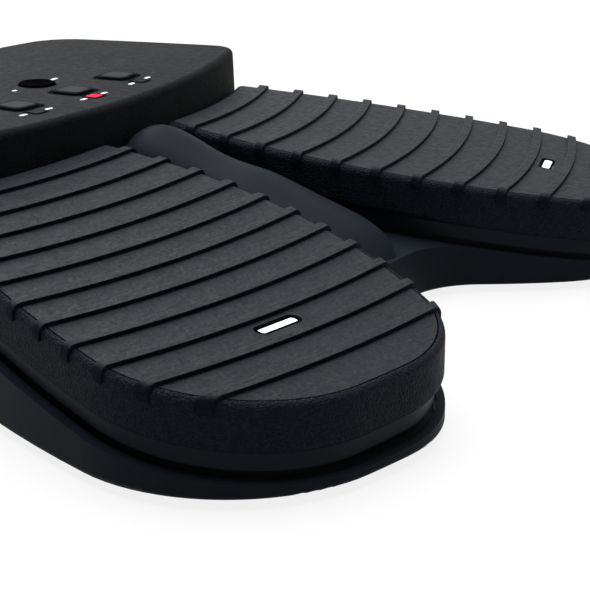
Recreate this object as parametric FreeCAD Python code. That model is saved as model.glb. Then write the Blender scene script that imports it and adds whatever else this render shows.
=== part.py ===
"""Page turner pedal: two ribbed pedals side by side in a low base, hinged under a control pod.

Millimetres. +X is to the right, -Y points to the pedal tips, +Z is up. The ribs, the tip edges
and the front wall of the pod are arcs about one common centre line; everything is drawn about
that line, then moved so that the origin is at the middle of the underside.
The right pedal is drawn, and the left one is its mirror image.
A drop is a depth straight down from the sloping top of a pedal.
"""
import FreeCAD, Part
import functools
import math
import os

V = FreeCAD.Vector
UP = V(0, 0, 1)

# Pedal outline
TIP_R = 322.0
REAR_GAP = 1.0
INNER_EDGE_R = 139.8
INNER_EDGE_X = 152.8
INNER_EDGE_Y = -217.6
OUTER_EDGE_R = 291.4
OUTER_EDGE_X = -164.6
OUTER_EDGE_Y = -367.0
TIP_INNER_ROUND = 30.5
TIP_OUTER_ROUND = 34.5
REAR_ROUND = 2.5

# Pedal slope and hinge
PEDAL_TURN = 23.15
PEDAL_TILT = 8.79
PEDAL_TRAVEL = 0.9
HINGE_SETBACK = 19.3
HINGE_Z = 20.0
PEDAL_TOP_AT_REAR = 35.95
HINGE_MID = -39.0
ARM_SPACING = 38.0
ARM_W = 8.0
KNUCKLE_R = 4.5
PIN_R = 2.0
PIN_RUNNING = 0.05
PIN_HEAD_R = 3.2
PIN_HEAD_T = 1.2
TAIL_L = 8.0

# Pedal shell, tread and frame
SKIRT_DROP = 10.0
SHELL_WALL = 2.0
SHELL_DECK_T = 1.8
EDGE_ROUND = 1.6
TREAD_T = 1.2
TREAD_INSET = 1.3
SEAM = 0.3
RIB_COUNT = 11
RIB_REAR_GAP = 7.6
RIB_TIP_GAP = 12.1
RIB_W = 2.2
RIB_H = 0.9
RIB_PROUD = 0.5
RIB_HOOK = 2.4
BAND_DROP = 13.4
BAND_INSET = 1.8
FRAME_WALL = 1.6
FRAME_DECK_T = 1.6
FRAME_RIB_T = 2.0
FRAME_RIB_DROP = 9.0
CROSS_RIB_REACHES = (248.0, 278.0)
FIT = 0.15

# Light bar and its board
BAR_R = 295.0
BAR_X = 73.3
BAR_L = 10.6
BAR_W = 2.6
BAR_SINK = 0.3
BAR_CORNER = 1.0
BAR_FIT = 0.1
BAR_SLOT = 0.5
BAR_FLANGE = 0.9
BAR_FLANGE_T = 1.0
LIGHT_BOARD_L = 23.0
LIGHT_BOARD_W = 7.0
LIGHT_BOARD_T = 1.0

# Base
FOOT_H = 2.0
FOOT_R = 6.0
FOOT_EDGE = 0.4
FOOT_GROOVE_R = 4.3
FOOT_GROOVE_W = 0.9
FOOT_GROOVE_DEPTH = 0.3
FOOT_PLACES = (V(70, -298, 0), V(80, -224, 0), V(57, -148, 0))
FRONT_FOOT_Y = -266.0
WALL_FOOT_Z = 1.6
PLATE_T = 1.4
PLATE_FIT = 0.2
BASE_WALL = 1.8
BASE_EDGE_ROUND = 1.2
RIM_DROP = 14.8
RIM_REACH = 0.9
RIM_INNER_REACH = 0.0
WELL_GAP = 0.4
WELL_REAR_ROOM = 17.3
WELL_WALL_T = 1.2
WELL_WALL_GAP = 1.0
WELL_WALL_DROP = 12.4
CROTCH_Y = -275.3
CROTCH_R = 2000.0
CROTCH_ROUND = 20.0
PARTING_Z = 21.0
PARTING_GAP = 0.2
SPINE_WALL = 1.8
SPINE_RISE = 8.5
SPINE_STATIONS = (
    (-207.4, 35.6, 8.0),
    (-210.8, 39.2, 10.7),
    (-222.0, 37.0, 10.8),
    (-240.0, 31.6, 11.2),
    (-257.0, 25.4, 11.6),
    (-268.0, 20.6, 10.2),
    (-274.0, 14.2, 5.5),
)
SPINE_HOLLOW = slice(1, 5)
SPINE_BOSS_Y = -248.0

# Control pod
POD_FRONT_R = 206.3
POD_TOP_Z = 45.8
POD_SIDE_R = 500.0
POD_SIDE_X = -412.0
POD_SIDE_Y = -275.5
POD_REAR_R = 300.0
POD_REAR_Y = -126.0
POD_FLARE = 6.0
POD_FRONT_ROUND = 7.0
POD_REAR_ROUND = 16.0
POD_EDGE_ROUND = 1.6
POD_WALL = 2.0
POD_TOP_T = 2.2
SILL_Z = 30.0
WAIST_ROUND = 45.0

# Controls
KEY_TO_WINDOW = 7.9
KEY_STEP = 6.4
KEY_SIDE = 8.0
KEY_CORNER = 1.6
KEY_PROUD = 0.6
KEY_EDGE_ROUND = 0.4
KEY_TRAVEL = 0.35
KEY_SLACK = 0.25
KEY_FLANGE = 0.8
KEY_FLANGE_T = 0.9
ROUND_KEY_TO_KEYS = 13.0
ROUND_KEY_TURN = 1.0
ROUND_KEY_R = 4.6
ROUND_KEY_PROUD = 0.6
ROUND_KEY_DISH_R = 14.0
ROUND_KEY_DISH = 0.5
WINDOW_SETBACK = 9.1
WINDOW_STEP = 6.3
WINDOW_TURN = -0.75
WINDOW_SIDE = 3.6
WINDOW_CORNER = 0.5
WINDOW_PROUD = 0.15
WINDOW_FIT = 0.1

# Boards
BOARD_T = 1.6
CONTROL_BOARD_HALF = 34.0
CONTROL_BOARD_REAR_Y = -162.0
CONTROL_BOARD_EDGE_GAP = 3.0
CONTROL_POSTS = (V(30, -166, 0), V(30.5, -190, 0))
STANDOFF_R = 2.4
TACT_SIDE = 6.0
TACT_H = 3.5
TACT_STEM_R = 1.7
TACT_STEM_DEPTH = 2.0
TACT_STEM_FIT = 0.1
CHIP_SIDE = 3.0
CHIP_H = 1.2
MAIN_BOARD_X = 84.0
MAIN_BOARD_Y = 27.0
MAIN_BOARD_LIFT = 2.4
MAIN_BOARD_POST_X = 26.0
MAIN_BOARD_POST_Y = 9.0
USB_W = 9.0
USB_D = 7.4
USB_H = 3.2
USB_WALL = 0.4
USB_TONGUE_T = 0.7
USB_GAP = 0.4
USB_SINK = 1.0
RADIO_X = 18.0
RADIO_Y = 13.0
RADIO_H = 2.2
RADIO_PLACE_X = -30.0

# Cells
CELL_R = 7.1
CELL_L = 50.5
CELL_NUB_R = 2.7
CELL_NUB_L = 1.0
CELL_PITCH = 15.2
CELL_BAY_Y = -147.0
CELL_SLACK = 0.4
CONTACT_T = 0.5
CONTACT_SIDE = 10.0
CONTACT_ROOM = 3.0
HOLDER_WALL = 1.5
HOLDER_TAB = 8.0
HOLDER_TAB_T = 2.0
HOLDER_TAB_Y = -156.5
DOOR_FIT = 0.3
DOOR_TONGUE_X = 18.0
DOOR_TONGUE_W = 8.0
DOOR_TONGUE_L = 3.0
DOOR_TONGUE_T = 1.0
DOOR_TONGUE_LIFT = 0.15
DOOR_SLOT_H = 5.5
DOOR_GRIP_R = 7.0

# Sensors, springs and stops
MAGNET_R = 3.0
MAGNET_H = 3.0
MAGNET_WALL = 1.2
SENSOR_REACH = 262.0
SENSOR_ROOM = 3.0
SENSOR_BOARD_SIDE = 12.0
SPRING_T = 0.8
SPRING_W = 9.0
SPRING_BEND_R = 7.0
SPRING_ROOM = 15.0
SPRING_LEG = 22.0
BUMPER_R = 4.5
BUMPER_GAP = 0.05
REST_PAD_T = 2.0
REST_PAD_L = 4.0

# Hinge brackets and screws
BRACKET_T = 2.0
BRACKET_DEPTH = 18.0
BRACKET_END = 3.0
EAR_T = 3.0
EAR_GAP = 0.3
EAR_R = 5.0
EAR_FOOT = 14.0
BRACKET_SCREW_STEP = 12.0
SCREW_R = 1.2
SCREW_HEAD_R = 2.5
SCREW_HEAD_T = 1.4
SCREW_FIT = 0.05
HOUSING_SCREW_L = 9.0
SHORT_SCREW_L = 3.2
BOSS_R = 3.6
BOSS_PLACES = (V(62, -160, 0), V(49, -146, 0))
CUP_R = 4.4
CUP_H = 2.4
CUP_FLOOR_T = 1.2

# Worked out from the sizes above
TURN = math.radians(PEDAL_TURN)
SLOPE = math.tan(math.radians(PEDAL_TILT))
DIP = math.tan(math.radians(PEDAL_TRAVEL))
AXIS = V(math.cos(TURN), math.sin(TURN), 0)
AHEAD = V(math.sin(TURN), -math.cos(TURN), 0)
PEDAL_REAR_R = POD_FRONT_R + REAR_GAP
RIB_FIRST_R = PEDAL_REAR_R + RIB_REAR_GAP
RIB_PITCH = (TIP_R - RIB_TIP_GAP - RIB_FIRST_R) / (RIB_COUNT - 1)
HINGE_REACH = PEDAL_REAR_R - HINGE_SETBACK
WELL_REAR_R = PEDAL_REAR_R - WELL_REAR_ROOM
WINDOW_ARC_R = POD_FRONT_R - WINDOW_SETBACK
KEY_ARC_R = WINDOW_ARC_R - KEY_TO_WINDOW
ROUND_KEY_ARC_R = KEY_ARC_R - ROUND_KEY_TO_KEYS
SHELL_DECK_DROP = TREAD_T + SHELL_DECK_T
FRAME_INSET = SHELL_WALL + FIT
FRAME_DECK_DROP = SHELL_DECK_DROP + FRAME_DECK_T
FRAME_REAR = PEDAL_REAR_R + FRAME_INSET + FRAME_WALL
ARM_MIDS = (HINGE_MID - ARM_SPACING / 2, HINGE_MID + ARM_SPACING / 2)
TAIL_Z = HINGE_Z - KNUCKLE_R
BUMPER_REACH = CROSS_RIB_REACHES[1] + FRAME_RIB_T / 2
PLATE_TOP_Z = FOOT_H + PLATE_T
CUP_TOP_Z = PLATE_TOP_Z + CUP_H
POD_ROOF_Z = POD_TOP_Z - POD_TOP_T
KEY_FLANGE_Z = POD_ROOF_Z - KEY_SLACK - KEY_FLANGE_T
TACT_BODY_TOP_Z = KEY_FLANGE_Z - KEY_TRAVEL - FIT
CONTROL_BOARD_TOP_Z = KEY_FLANGE_Z - TACT_H
CELL_BAY_X = CELL_L + 2 * CONTACT_ROOM
CELL_BAY_DEPTH = CELL_PITCH + 2 * (CELL_R + CELL_SLACK)
CELL_BAY_FRONT_Y = CELL_BAY_Y - CELL_BAY_DEPTH / 2
CELL_Z = PLATE_TOP_Z + CELL_SLACK + CELL_R
HOLDER_TOP_Z = CELL_Z + CELL_R + CELL_SLACK + HOLDER_WALL
MAIN_BOARD_Z = HOLDER_TOP_Z + MAIN_BOARD_LIFT
MAIN_BOARD_TOP_Z = MAIN_BOARD_Z + BOARD_T
MAIN_BOARD_MID_Y = CELL_BAY_FRONT_Y + MAIN_BOARD_Y / 2 + (CELL_BAY_DEPTH - MAIN_BOARD_Y) / 2
MAGNET_Z = PLATE_TOP_Z + BOARD_T + SENSOR_ROOM
SPRING_TOP_Z = PLATE_TOP_Z + 2 * SPRING_BEND_R
SPRING_FAR = PEDAL_REAR_R + (PEDAL_TOP_AT_REAR - FRAME_RIB_DROP - SPRING_TOP_Z) / SLOPE
SPRING_REACH = SPRING_FAR - SPRING_ROOM - SPRING_LEG
KEY_ANGLES = (-KEY_STEP, 0.0, KEY_STEP)
WINDOW_ANGLES = tuple(WINDOW_TURN + WINDOW_STEP * place for place in (-1, 0, 1))
FAR = 400.0
TALL = 80.0


def local(along, ahead, height):
    """Point given along the hinge line, ahead towards the tip, and up."""
    return AXIS * along + AHEAD * ahead + UP * height


def on_arc(radius, degrees):
    """Point on an arc about the common centre line, at an angle from straight ahead."""
    turn = math.radians(degrees)
    return V(radius * math.sin(turn), -radius * math.cos(turn), 0)


def pedal_z(ahead, drop=0.0):
    """Height of the pedal's sloping top, less a drop."""
    return PEDAL_TOP_AT_REAR - SLOPE * (ahead - PEDAL_REAR_R) - drop


def mirrored(shape):
    """Left-hand copy of a right-hand shape."""
    return shape.mirror(V(0, 0, 0), V(1, 0, 0))


def disc(centre, radius):
    """Flat round face."""
    return Part.Face(Part.Wire(Part.makeCircle(radius, centre)))


def slab(face, low, high):
    """Solid with a flat face's outline, between two heights."""
    solid = face.extrude(UP * (high - low))
    solid.translate(UP * low)
    return solid


def one(shape):
    """Single solid or face held by the result of a cut or join."""
    held = shape.Solids or shape.Faces
    return held[0] if len(held) == 1 else shape


def block(centre, size_x, size_y, low, high):
    """Upright block about a point in plan."""
    corner = V(centre.x - size_x / 2, centre.y - size_y / 2, low)
    return Part.makeBox(size_x, size_y, high - low, corner)


def post(centre, radius, low, high):
    """Upright cylinder about a point in plan."""
    return Part.makeCylinder(radius, high - low, V(centre.x, centre.y, low))


def cross_section(points, start, end):
    """Outline drawn as (ahead, height) pairs, carried along the hinge line."""
    corners = [local(start, ahead, height) for ahead, height in points]
    face = Part.Face(Part.makePolygon(corners + corners[:1]))
    return face.extrude(AXIS * (end - start))


def turned_block(centre, along, ahead, low, high):
    """Block squared to the hinge line, about a point in plan."""
    start = centre.dot(AXIS) - along / 2
    near = centre.dot(AHEAD) - ahead / 2
    points = [(near, low), (near + ahead, low), (near + ahead, high), (near, high)]
    return cross_section(points, start, start + along)


def top_face(solid):
    """Highest face of a solid."""
    return max(solid.Faces, key=lambda face: face.CenterOfMass.z)


def meeting(first, second, side):
    """Point where two circles meet, on their right for side 1 and on their left for side -1."""
    (centre, radius), (other, other_radius) = first, second
    gap = other - centre
    along = (gap.dot(gap) + radius**2 - other_radius**2) / (2 * gap.Length)
    aside = math.sqrt(radius**2 - along**2)
    unit = V(gap.x, gap.y, 0).normalize()
    across = V(-unit.y, unit.x, 0)
    if across.x * side < 0:
        across = across * -1
    return centre + unit * along + across * aside


def towards(centre, point, radius):
    """Point of a circle that lies in the direction of another point."""
    return centre + (point - centre).normalize() * radius


def arc_edge(centre, radius, start, end):
    """Arc of under half a turn between two points of a circle."""
    middle = towards(centre, (start + end) * 0.5, radius)
    return Part.Arc(start, middle, end).toShape()


def arc_outline(sides, corners):
    """Face bounded by arcs: sides are (centre, radius, inside), corners are (radius, side).

    A corner joins its side to the next one. Its radius is negative where it is hollow.
    """
    joints = []
    for index, (radius, side) in enumerate(corners):
        here, there = sides[index], sides[(index + 1) % len(sides)]
        centre = meeting(
            (here[0], here[1] - here[2] * radius), (there[0], there[1] - there[2] * radius), side
        )
        if radius:
            joints.append((centre, towards(here[0], centre, here[1]), towards(there[0], centre, there[1])))
        else:
            joints.append((centre, centre, centre))
    edges = []
    for index, (radius, _) in enumerate(corners):
        centre, start, end = joints[index]
        edges.append(arc_edge(sides[index][0], sides[index][1], joints[index - 1][2], start))
        if radius:
            edges.append(arc_edge(centre, abs(radius), start, end))
    return Part.Face(Part.Wire(edges))


def rounded(radius, reach):
    """Corner radius after an outline is grown, or nothing where the corner has closed up."""
    return radius + reach if (radius + reach) * radius > 0 else 0.0


def pedal_sides(reach, inner_reach):
    """Inner edge, tip and outer edge of the right pedal."""
    return [
        (V(INNER_EDGE_X, INNER_EDGE_Y, 0), INNER_EDGE_R + inner_reach, 1),
        (V(0, 0, 0), TIP_R + reach, 1),
        (V(OUTER_EDGE_X, OUTER_EDGE_Y, 0), OUTER_EDGE_R + reach, 1),
    ]


def tip_corners(reach):
    """Corners at the two ends of the tip edge."""
    return [(rounded(TIP_INNER_ROUND, reach), -1), (rounded(TIP_OUTER_ROUND, reach), 1)]


@functools.lru_cache(maxsize=None)
def pedal_outline(reach=0.0, rear_r=PEDAL_REAR_R):
    """Plan of the right pedal, grown by a reach."""
    sides = pedal_sides(reach, reach) + [(V(0, 0, 0), rear_r - reach, -1)]
    rear = rounded(REAR_ROUND, reach)
    return arc_outline(sides, tip_corners(reach) + [(rear, 1), (rear, -1)])


def pod_side(reach):
    """Right side of the pod."""
    return (V(POD_SIDE_X, POD_SIDE_Y, 0), POD_SIDE_R + reach, 1)


def pod_rear(reach):
    """Rear edge of the pod."""
    return (V(0, POD_REAR_Y - POD_REAR_R, 0), POD_REAR_R + reach, 1)


def across(side):
    """Left-hand copy of a side."""
    centre, radius, inside = side
    return (V(-centre.x, centre.y, 0), radius, inside)


@functools.lru_cache(maxsize=None)
def pod_outline(reach=0.0, flare=0.0):
    """Plan of the pod, grown by a reach, with its sides and rear drawn in by a flare."""
    side = pod_side(reach - flare)
    sides = [(V(0, 0, 0), POD_FRONT_R + reach, 1), side, pod_rear(reach - flare), across(side)]
    front, rear = rounded(POD_FRONT_ROUND, reach), rounded(POD_REAR_ROUND, reach)
    return arc_outline(sides, [(front, 1), (rear, 1), (rear, -1), (front, -1)])


@functools.lru_cache(maxsize=None)
def base_outline(reach=0.0):
    """Plan of the base: both pedals with their rims, the web between them and the pod."""
    rim = RIM_REACH + reach
    inner, tip, outer = pedal_sides(rim, RIM_INNER_REACH + reach)
    crotch = (V(0, CROTCH_Y + CROTCH_R, 0), CROTCH_R + reach, 1)
    right = [inner, tip, outer, pod_side(reach)]
    sides = [crotch] + right + [pod_rear(reach)] + [across(side) for side in reversed(right)]
    hollow, waist = rounded(-CROTCH_ROUND, reach), rounded(-WAIST_ROUND, reach)
    rear = rounded(POD_REAR_ROUND, reach)
    joined = [(hollow, -1)] + tip_corners(rim) + [(waist, 1), (rear, 1)]
    return arc_outline(sides, joined + [(radius, -side) for radius, side in reversed(joined)])


def sloping_slab(drop_top, drop_bottom):
    """Space between two depths below the pedal's top."""
    points = [
        (0, pedal_z(0, drop_top)),
        (FAR, pedal_z(FAR, drop_top)),
        (FAR, pedal_z(FAR, drop_bottom)),
        (0, pedal_z(0, drop_bottom)),
    ]
    return cross_section(points, -FAR / 2, FAR / 2)


def pedal_slab(reach, drop_top, drop_bottom):
    """Pedal outline grown by a reach, between two depths."""
    return one(slab(pedal_outline(reach), -TALL, TALL).common(sloping_slab(drop_top, drop_bottom)))


def rounded_top(solid, radius):
    """Solid with the edge of its top face rounded."""
    return solid.makeFillet(radius, top_face(solid).Edges)


def rounded_rectangle(length, width, corner):
    """Face with four round corners, about the origin."""
    solid = Part.makeBox(length, width, 1, V(-length / 2, -width / 2, 0))
    uprights = [edge for edge in solid.Edges if edge.Vertexes[0].Point.z != edge.Vertexes[1].Point.z]
    solid = solid.makeFillet(corner, uprights)
    return Part.Face(min(solid.Faces, key=lambda face: face.CenterOfMass.z).OuterWire)


def bar_place():
    """Middle of the light bar in plan."""
    return V(BAR_X, -math.sqrt(BAR_R**2 - BAR_X**2), 0)


def bar_face(grow):
    """Plan of the light bar, square to the radius through it."""
    centre = bar_place()
    turn = math.degrees(math.atan2(centre.x, -centre.y))
    face = rounded_rectangle(BAR_L + 2 * grow, BAR_W + 2 * grow, BAR_CORNER + grow)
    face.rotate(V(0, 0, 0), UP, turn)
    face.translate(centre)
    return face


def bar_slab(grow, drop_top, drop_bottom):
    """Light bar's plan between two depths."""
    return one(slab(bar_face(grow), -TALL, TALL).common(sloping_slab(drop_top, drop_bottom)))


def pedal_shell():
    """Textured cover with its skirt, a pocket for the tread and a slot for the light bar."""
    body = rounded_top(pedal_slab(0, 0, SKIRT_DROP), EDGE_ROUND)
    pocket = pedal_slab(-TREAD_INSET, -1, TREAD_T)
    cavity = pedal_slab(-SHELL_WALL, SHELL_DECK_DROP, SKIRT_DROP + 1)
    return body.cut([pocket, cavity, bar_slab(BAR_FIT, -1, SKIRT_DROP)])


def pedal_tread():
    """Rubber mat with arc ribs that fold over the edge of the shell."""
    mat = pedal_slab(-(TREAD_INSET + SEAM), 0, TREAD_T)
    under = rounded_top(pedal_slab(0, 0, SKIRT_DROP), EDGE_ROUND)
    over = rounded_top(pedal_slab(RIB_PROUD, -RIB_H, SKIRT_DROP), EDGE_ROUND + RIB_PROUD)
    over = over.cut([under, sloping_slab(RIB_HOOK, SKIRT_DROP + 1)])
    ribs = []
    for index in range(RIB_COUNT):
        middle = RIB_FIRST_R + index * RIB_PITCH
        ring = disc(V(0, 0, 0), middle + RIB_W / 2).cut(disc(V(0, 0, 0), middle - RIB_W / 2))
        ribs.append(one(slab(one(ring), -TALL, TALL).common(over)))
    return one(mat.multiFuse(ribs).removeSplitter().cut(bar_slab(BAR_SLOT, -2 * RIB_H, SKIRT_DROP)))


def hinge_arm(middle):
    """Arm from the frame back to its knuckle on the hinge pin, with a tail for the rest stop."""
    rise = FRAME_REAR + FRAME_DECK_DROP
    end = rise + 2 * KNUCKLE_R
    deck = SHELL_DECK_DROP + FRAME_DECK_T / 2
    points = [
        (HINGE_REACH, HINGE_Z + KNUCKLE_R),
        (FRAME_REAR, pedal_z(FRAME_REAR, SKIRT_DROP + FIT + FRAME_DECK_T)),
        (rise, pedal_z(rise, deck)),
        (end, pedal_z(end, deck)),
        (end, pedal_z(end, FRAME_RIB_DROP)),
        (FRAME_REAR, pedal_z(FRAME_REAR, BAND_DROP + FRAME_DECK_T)),
        (HINGE_REACH, TAIL_Z),
        (HINGE_REACH - TAIL_L, TAIL_Z),
        (HINGE_REACH - TAIL_L, HINGE_Z - KNUCKLE_R / 4),
    ]
    start = middle - ARM_W / 2
    arm = cross_section(points, start, start + ARM_W)
    knuckle = Part.makeCylinder(KNUCKLE_R, ARM_W, local(start, HINGE_REACH, HINGE_Z), AXIS)
    return arm.fuse(knuckle)


def hinge_rod(radius, start, end):
    """Round bar on the hinge line."""
    return Part.makeCylinder(radius, end - start, local(start, HINGE_REACH, HINGE_Z), AXIS)


def spring_contact():
    """Point in plan where the upper leg of a return spring bears on the frame."""
    return local(HINGE_MID, SPRING_REACH + SPRING_LEG - SPRING_W / 2, 0)


def light_board_top_z():
    """Height of the light board's upper face, clear under the lowest corner of the bar."""
    ahead = bar_place().dot(AHEAD) + BAR_W / 2 + BAR_FLANGE
    return pedal_z(ahead, FRAME_DECK_DROP + BAR_FLANGE_T) - CHIP_H - 2 * FIT


def light_board_blank(gap, low, high):
    """Plan of the light board, square to the radius through the bar and grown by a gap, between two heights."""
    centre = bar_place()
    blank = block(centre, LIGHT_BOARD_L + 2 * gap, LIGHT_BOARD_W + 2 * gap, low, high)
    blank.rotate(centre, UP, math.degrees(math.atan2(centre.x, -centre.y)))
    return blank


def light_board_posts(radius, low, high):
    """Two posts beside the light bar, for the frame's posts, the board's holes and the screws."""
    centre = bar_place()
    across = V(-centre.y, centre.x, 0).normalize() * (LIGHT_BOARD_L / 2 - STANDOFF_R)
    return [post(centre + across * side, radius, low, high) for side in (-1, 1)]


def sloping_beam(start, end, near, far, drop):
    """Rib under the frame's deck, down to a drop."""
    points = [
        (near, pedal_z(near, SHELL_DECK_DROP)),
        (far, pedal_z(far, SHELL_DECK_DROP)),
        (far, pedal_z(far, drop)),
        (near, pedal_z(near, drop)),
    ]
    return cross_section(points, start, end)


def frame_stiffeners():
    """Ribs under the frame's deck, with its pads for the spring, the magnet and the bumper."""
    half = FRAME_RIB_T / 2
    beams = [sloping_beam(mid - half, mid + half, PEDAL_REAR_R, TIP_R, FRAME_RIB_DROP) for mid in ARM_MIDS]
    for reach in CROSS_RIB_REACHES:
        beams.append(sloping_beam(-FAR / 4, FAR / 4, reach, reach + FRAME_RIB_T, FRAME_RIB_DROP))
    board_room = light_board_blank(FIT, 0, light_board_top_z() + FIT)
    beams = [beam.cut(board_room) for beam in beams]
    beams.append(turned_block(spring_contact(), SPRING_W, SPRING_W, SPRING_TOP_Z, TALL))
    beams.append(post(local(HINGE_MID, SENSOR_REACH, 0), MAGNET_R + MAGNET_WALL, MAGNET_Z, TALL))
    beams.append(post(local(HINGE_MID, BUMPER_REACH, 0), BUMPER_R, pedal_z(BUMPER_REACH, BAND_DROP), TALL))
    beams += light_board_posts(STANDOFF_R, light_board_top_z(), TALL)
    room = pedal_slab(-FRAME_INSET, SHELL_DECK_DROP, BAND_DROP + TALL)
    return [beam.common(room) for beam in beams]


def pedal_frame():
    """Smooth inner frame whose lower band shows under the skirt, with two hinge arms."""
    outer = pedal_slab(-FRAME_INSET, SHELL_DECK_DROP, BAND_DROP)
    band = pedal_slab(-BAND_INSET, SKIRT_DROP + FIT, BAND_DROP)
    cavity = pedal_slab(-(FRAME_INSET + FRAME_WALL), FRAME_DECK_DROP, BAND_DROP + 1)
    body = outer.fuse(band).cut(cavity)
    body = body.multiFuse(frame_stiffeners() + [hinge_arm(middle) for middle in ARM_MIDS])
    bore = hinge_rod(PIN_R + PIN_RUNNING, HINGE_MID - ARM_SPACING, HINGE_MID + ARM_SPACING)
    seat = post(local(HINGE_MID, SENSOR_REACH, 0), MAGNET_R, MAGNET_Z - 1, MAGNET_Z + MAGNET_H)
    low = light_board_top_z()
    screws = light_board_posts(SCREW_R + SCREW_FIT, low - 1, low + SHORT_SCREW_L)
    slot = bar_slab(BAR_FIT, 0, SKIRT_DROP)
    return one(body.cut([bore, seat, slot] + screws).removeSplitter())


def light_bar():
    """Clear bar through the pedal's top, with a flange under the frame's deck."""
    stem = bar_slab(0, BAR_SINK, FRAME_DECK_DROP + BAR_FLANGE_T)
    return one(stem.fuse(bar_slab(BAR_FLANGE, FRAME_DECK_DROP, FRAME_DECK_DROP + BAR_FLANGE_T)).removeSplitter())


def light_board():
    """Small board under the light bar, hung from two posts, with its lamp chip."""
    centre = bar_place()
    turn = math.degrees(math.atan2(centre.x, -centre.y))
    top = light_board_top_z()
    chip = block(centre, BAR_L, CHIP_SIDE / 2, top, top + CHIP_H)
    chip.rotate(centre, UP, turn)
    board = light_board_blank(0, top - LIGHT_BOARD_T, top).fuse(chip)
    return one(board.cut(light_board_posts(SCREW_R + SCREW_FIT, top - 2, top + 1)))


def magnet():
    """Round magnet in the frame's seat."""
    return post(local(HINGE_MID, SENSOR_REACH, 0), MAGNET_R, MAGNET_Z, MAGNET_Z + MAGNET_H)


def well_wall():
    """Wall up from the bottom plate, inside the pedal's band, that closes the view into a well."""
    reach = -(FRAME_INSET + FRAME_WALL + WELL_WALL_GAP)
    ring = pedal_outline(reach).cut(pedal_outline(reach - WELL_WALL_T))
    wall = slab(one(ring), FOOT_H, TALL).common(sloping_slab(WELL_WALL_DROP, TALL))
    return wall.cut(slab(disc(V(0, 0, 0), PEDAL_REAR_R - 2 * reach), 0, TALL))


def above_rim():
    """Space above the base's sloping rims and above the line where the pod's cover begins."""
    right = sloping_slab(-TALL, RIM_DROP).common(Part.makeBox(FAR, FAR, FAR, V(0, -FAR, -FAR / 2)))
    return [right, mirrored(right), Part.makeBox(FAR, FAR, TALL, V(-FAR / 2, -FAR, PARTING_Z))]


def spine_section(station, inset=0.0, base_lift=-1.0):
    """Outline of the spine at one station: upright sides under an arched top."""
    y, crest, half = station
    deck = pedal_z(y * AHEAD.y, RIM_DROP)
    rise = min(SPINE_RISE, (crest - deck) / 2)
    half, crest, low = half - inset, crest - inset, min(deck, PARTING_Z) + base_lift
    centre = V(0, y, crest - rise)
    corners = [V(-half, y, centre.z), V(-half, y, low), V(half, y, low), V(half, y, centre.z)]
    points = (V(half, y, centre.z), V(0, y, crest)) if half > rise else (V(0, y, crest), V(half, y, centre.z))
    oval = Part.Ellipse(points[0], points[1], centre)
    arch = Part.ArcOfEllipse(oval, oval.parameter(corners[3]), oval.parameter(corners[3]) + math.pi)
    return Part.Wire(Part.makePolygon(corners).Edges + [arch.toShape()])


def spine():
    """Smooth ridge between the pedals, from the pod down to the crotch, and its hollow."""
    ridge = Part.makeLoft([spine_section(station) for station in SPINE_STATIONS], True, False)
    hollow = [spine_section(station, SPINE_WALL, -BASE_WALL - 1) for station in SPINE_STATIONS[SPINE_HOLLOW]]
    return ridge, Part.makeLoft(hollow, True, False)


def base_housing():
    """Smooth base moulding: outer wall, rims round both wells and the spine between them."""
    body = slab(base_outline(), WALL_FOOT_Z, TALL)
    foot = min(body.Faces, key=lambda face: face.CenterOfMass.z)
    body = one(body.makeFillet(BASE_EDGE_ROUND, foot.Edges).cut(above_rim()))
    ridge, hollow = spine()
    body = body.fuse(ridge)
    web = slab(base_outline(-BASE_WALL), 0, TALL).cut(above_rim())
    web.translate(UP * -BASE_WALL)
    rims = slab(pedal_outline(RIM_REACH), -TALL, TALL)
    web = web.cut([rims, mirrored(rims)])
    well = slab(pedal_outline(WELL_GAP - BAND_INSET, WELL_REAR_R), 0, TALL)
    inside_pod = slab(pod_outline(-BASE_WALL), 0, PARTING_Z + 1)
    floor = slab(base_outline(-BASE_WALL), 0, PLATE_TOP_Z + FIT)
    bracket_room = bracket_base(WELL_GAP)
    for tool in (web, well, mirrored(well), inside_pod, floor, hollow, bracket_room, mirrored(bracket_room)):
        body = body.cut(tool)
    boss = post(V(0, SPINE_BOSS_Y, 0), BOSS_R, CUP_TOP_Z, spine_crest(SPINE_BOSS_Y) - SPINE_WALL)
    hole = post(V(0, SPINE_BOSS_Y, 0), SCREW_R + SCREW_FIT, CUP_TOP_Z, CUP_TOP_Z + HOUSING_SCREW_L)
    return one(body.fuse(boss).cut(hole).removeSplitter())


def spine_crest(y):
    """Height of the spine's crest, between two of its stations."""
    pairs = list(zip(SPINE_STATIONS, SPINE_STATIONS[1:]))
    for (near_y, near_z, _), (far_y, far_z, _) in pairs:
        if near_y >= y >= far_y:
            return near_z + (far_z - near_z) * (near_y - y) / (near_y - far_y)
    return PARTING_Z


def boss_places():
    """Places in plan of all the bosses that take a housing screw."""
    sides = [V(place.x * side, place.y, 0) for place in BOSS_PLACES for side in (-1, 1)]
    return sides + [V(0, SPINE_BOSS_Y, 0)]


def bracket_screw_places():
    """Places in plan of the screws through both hinge brackets and the cell holder's tabs."""
    middle = HINGE_MID
    steps = (-BRACKET_SCREW_STEP / 2, BRACKET_SCREW_STEP / 2)
    right = [local(middle + step, HINGE_REACH, 0) for step in steps]
    tab_x = CELL_BAY_X / 2 + HOLDER_WALL + HOLDER_TAB / 2
    tabs = [V(tab_x * side, HOLDER_TAB_Y, 0) for side in (-1, 1)]
    return right + [V(-place.x, place.y, 0) for place in right] + tabs


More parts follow.
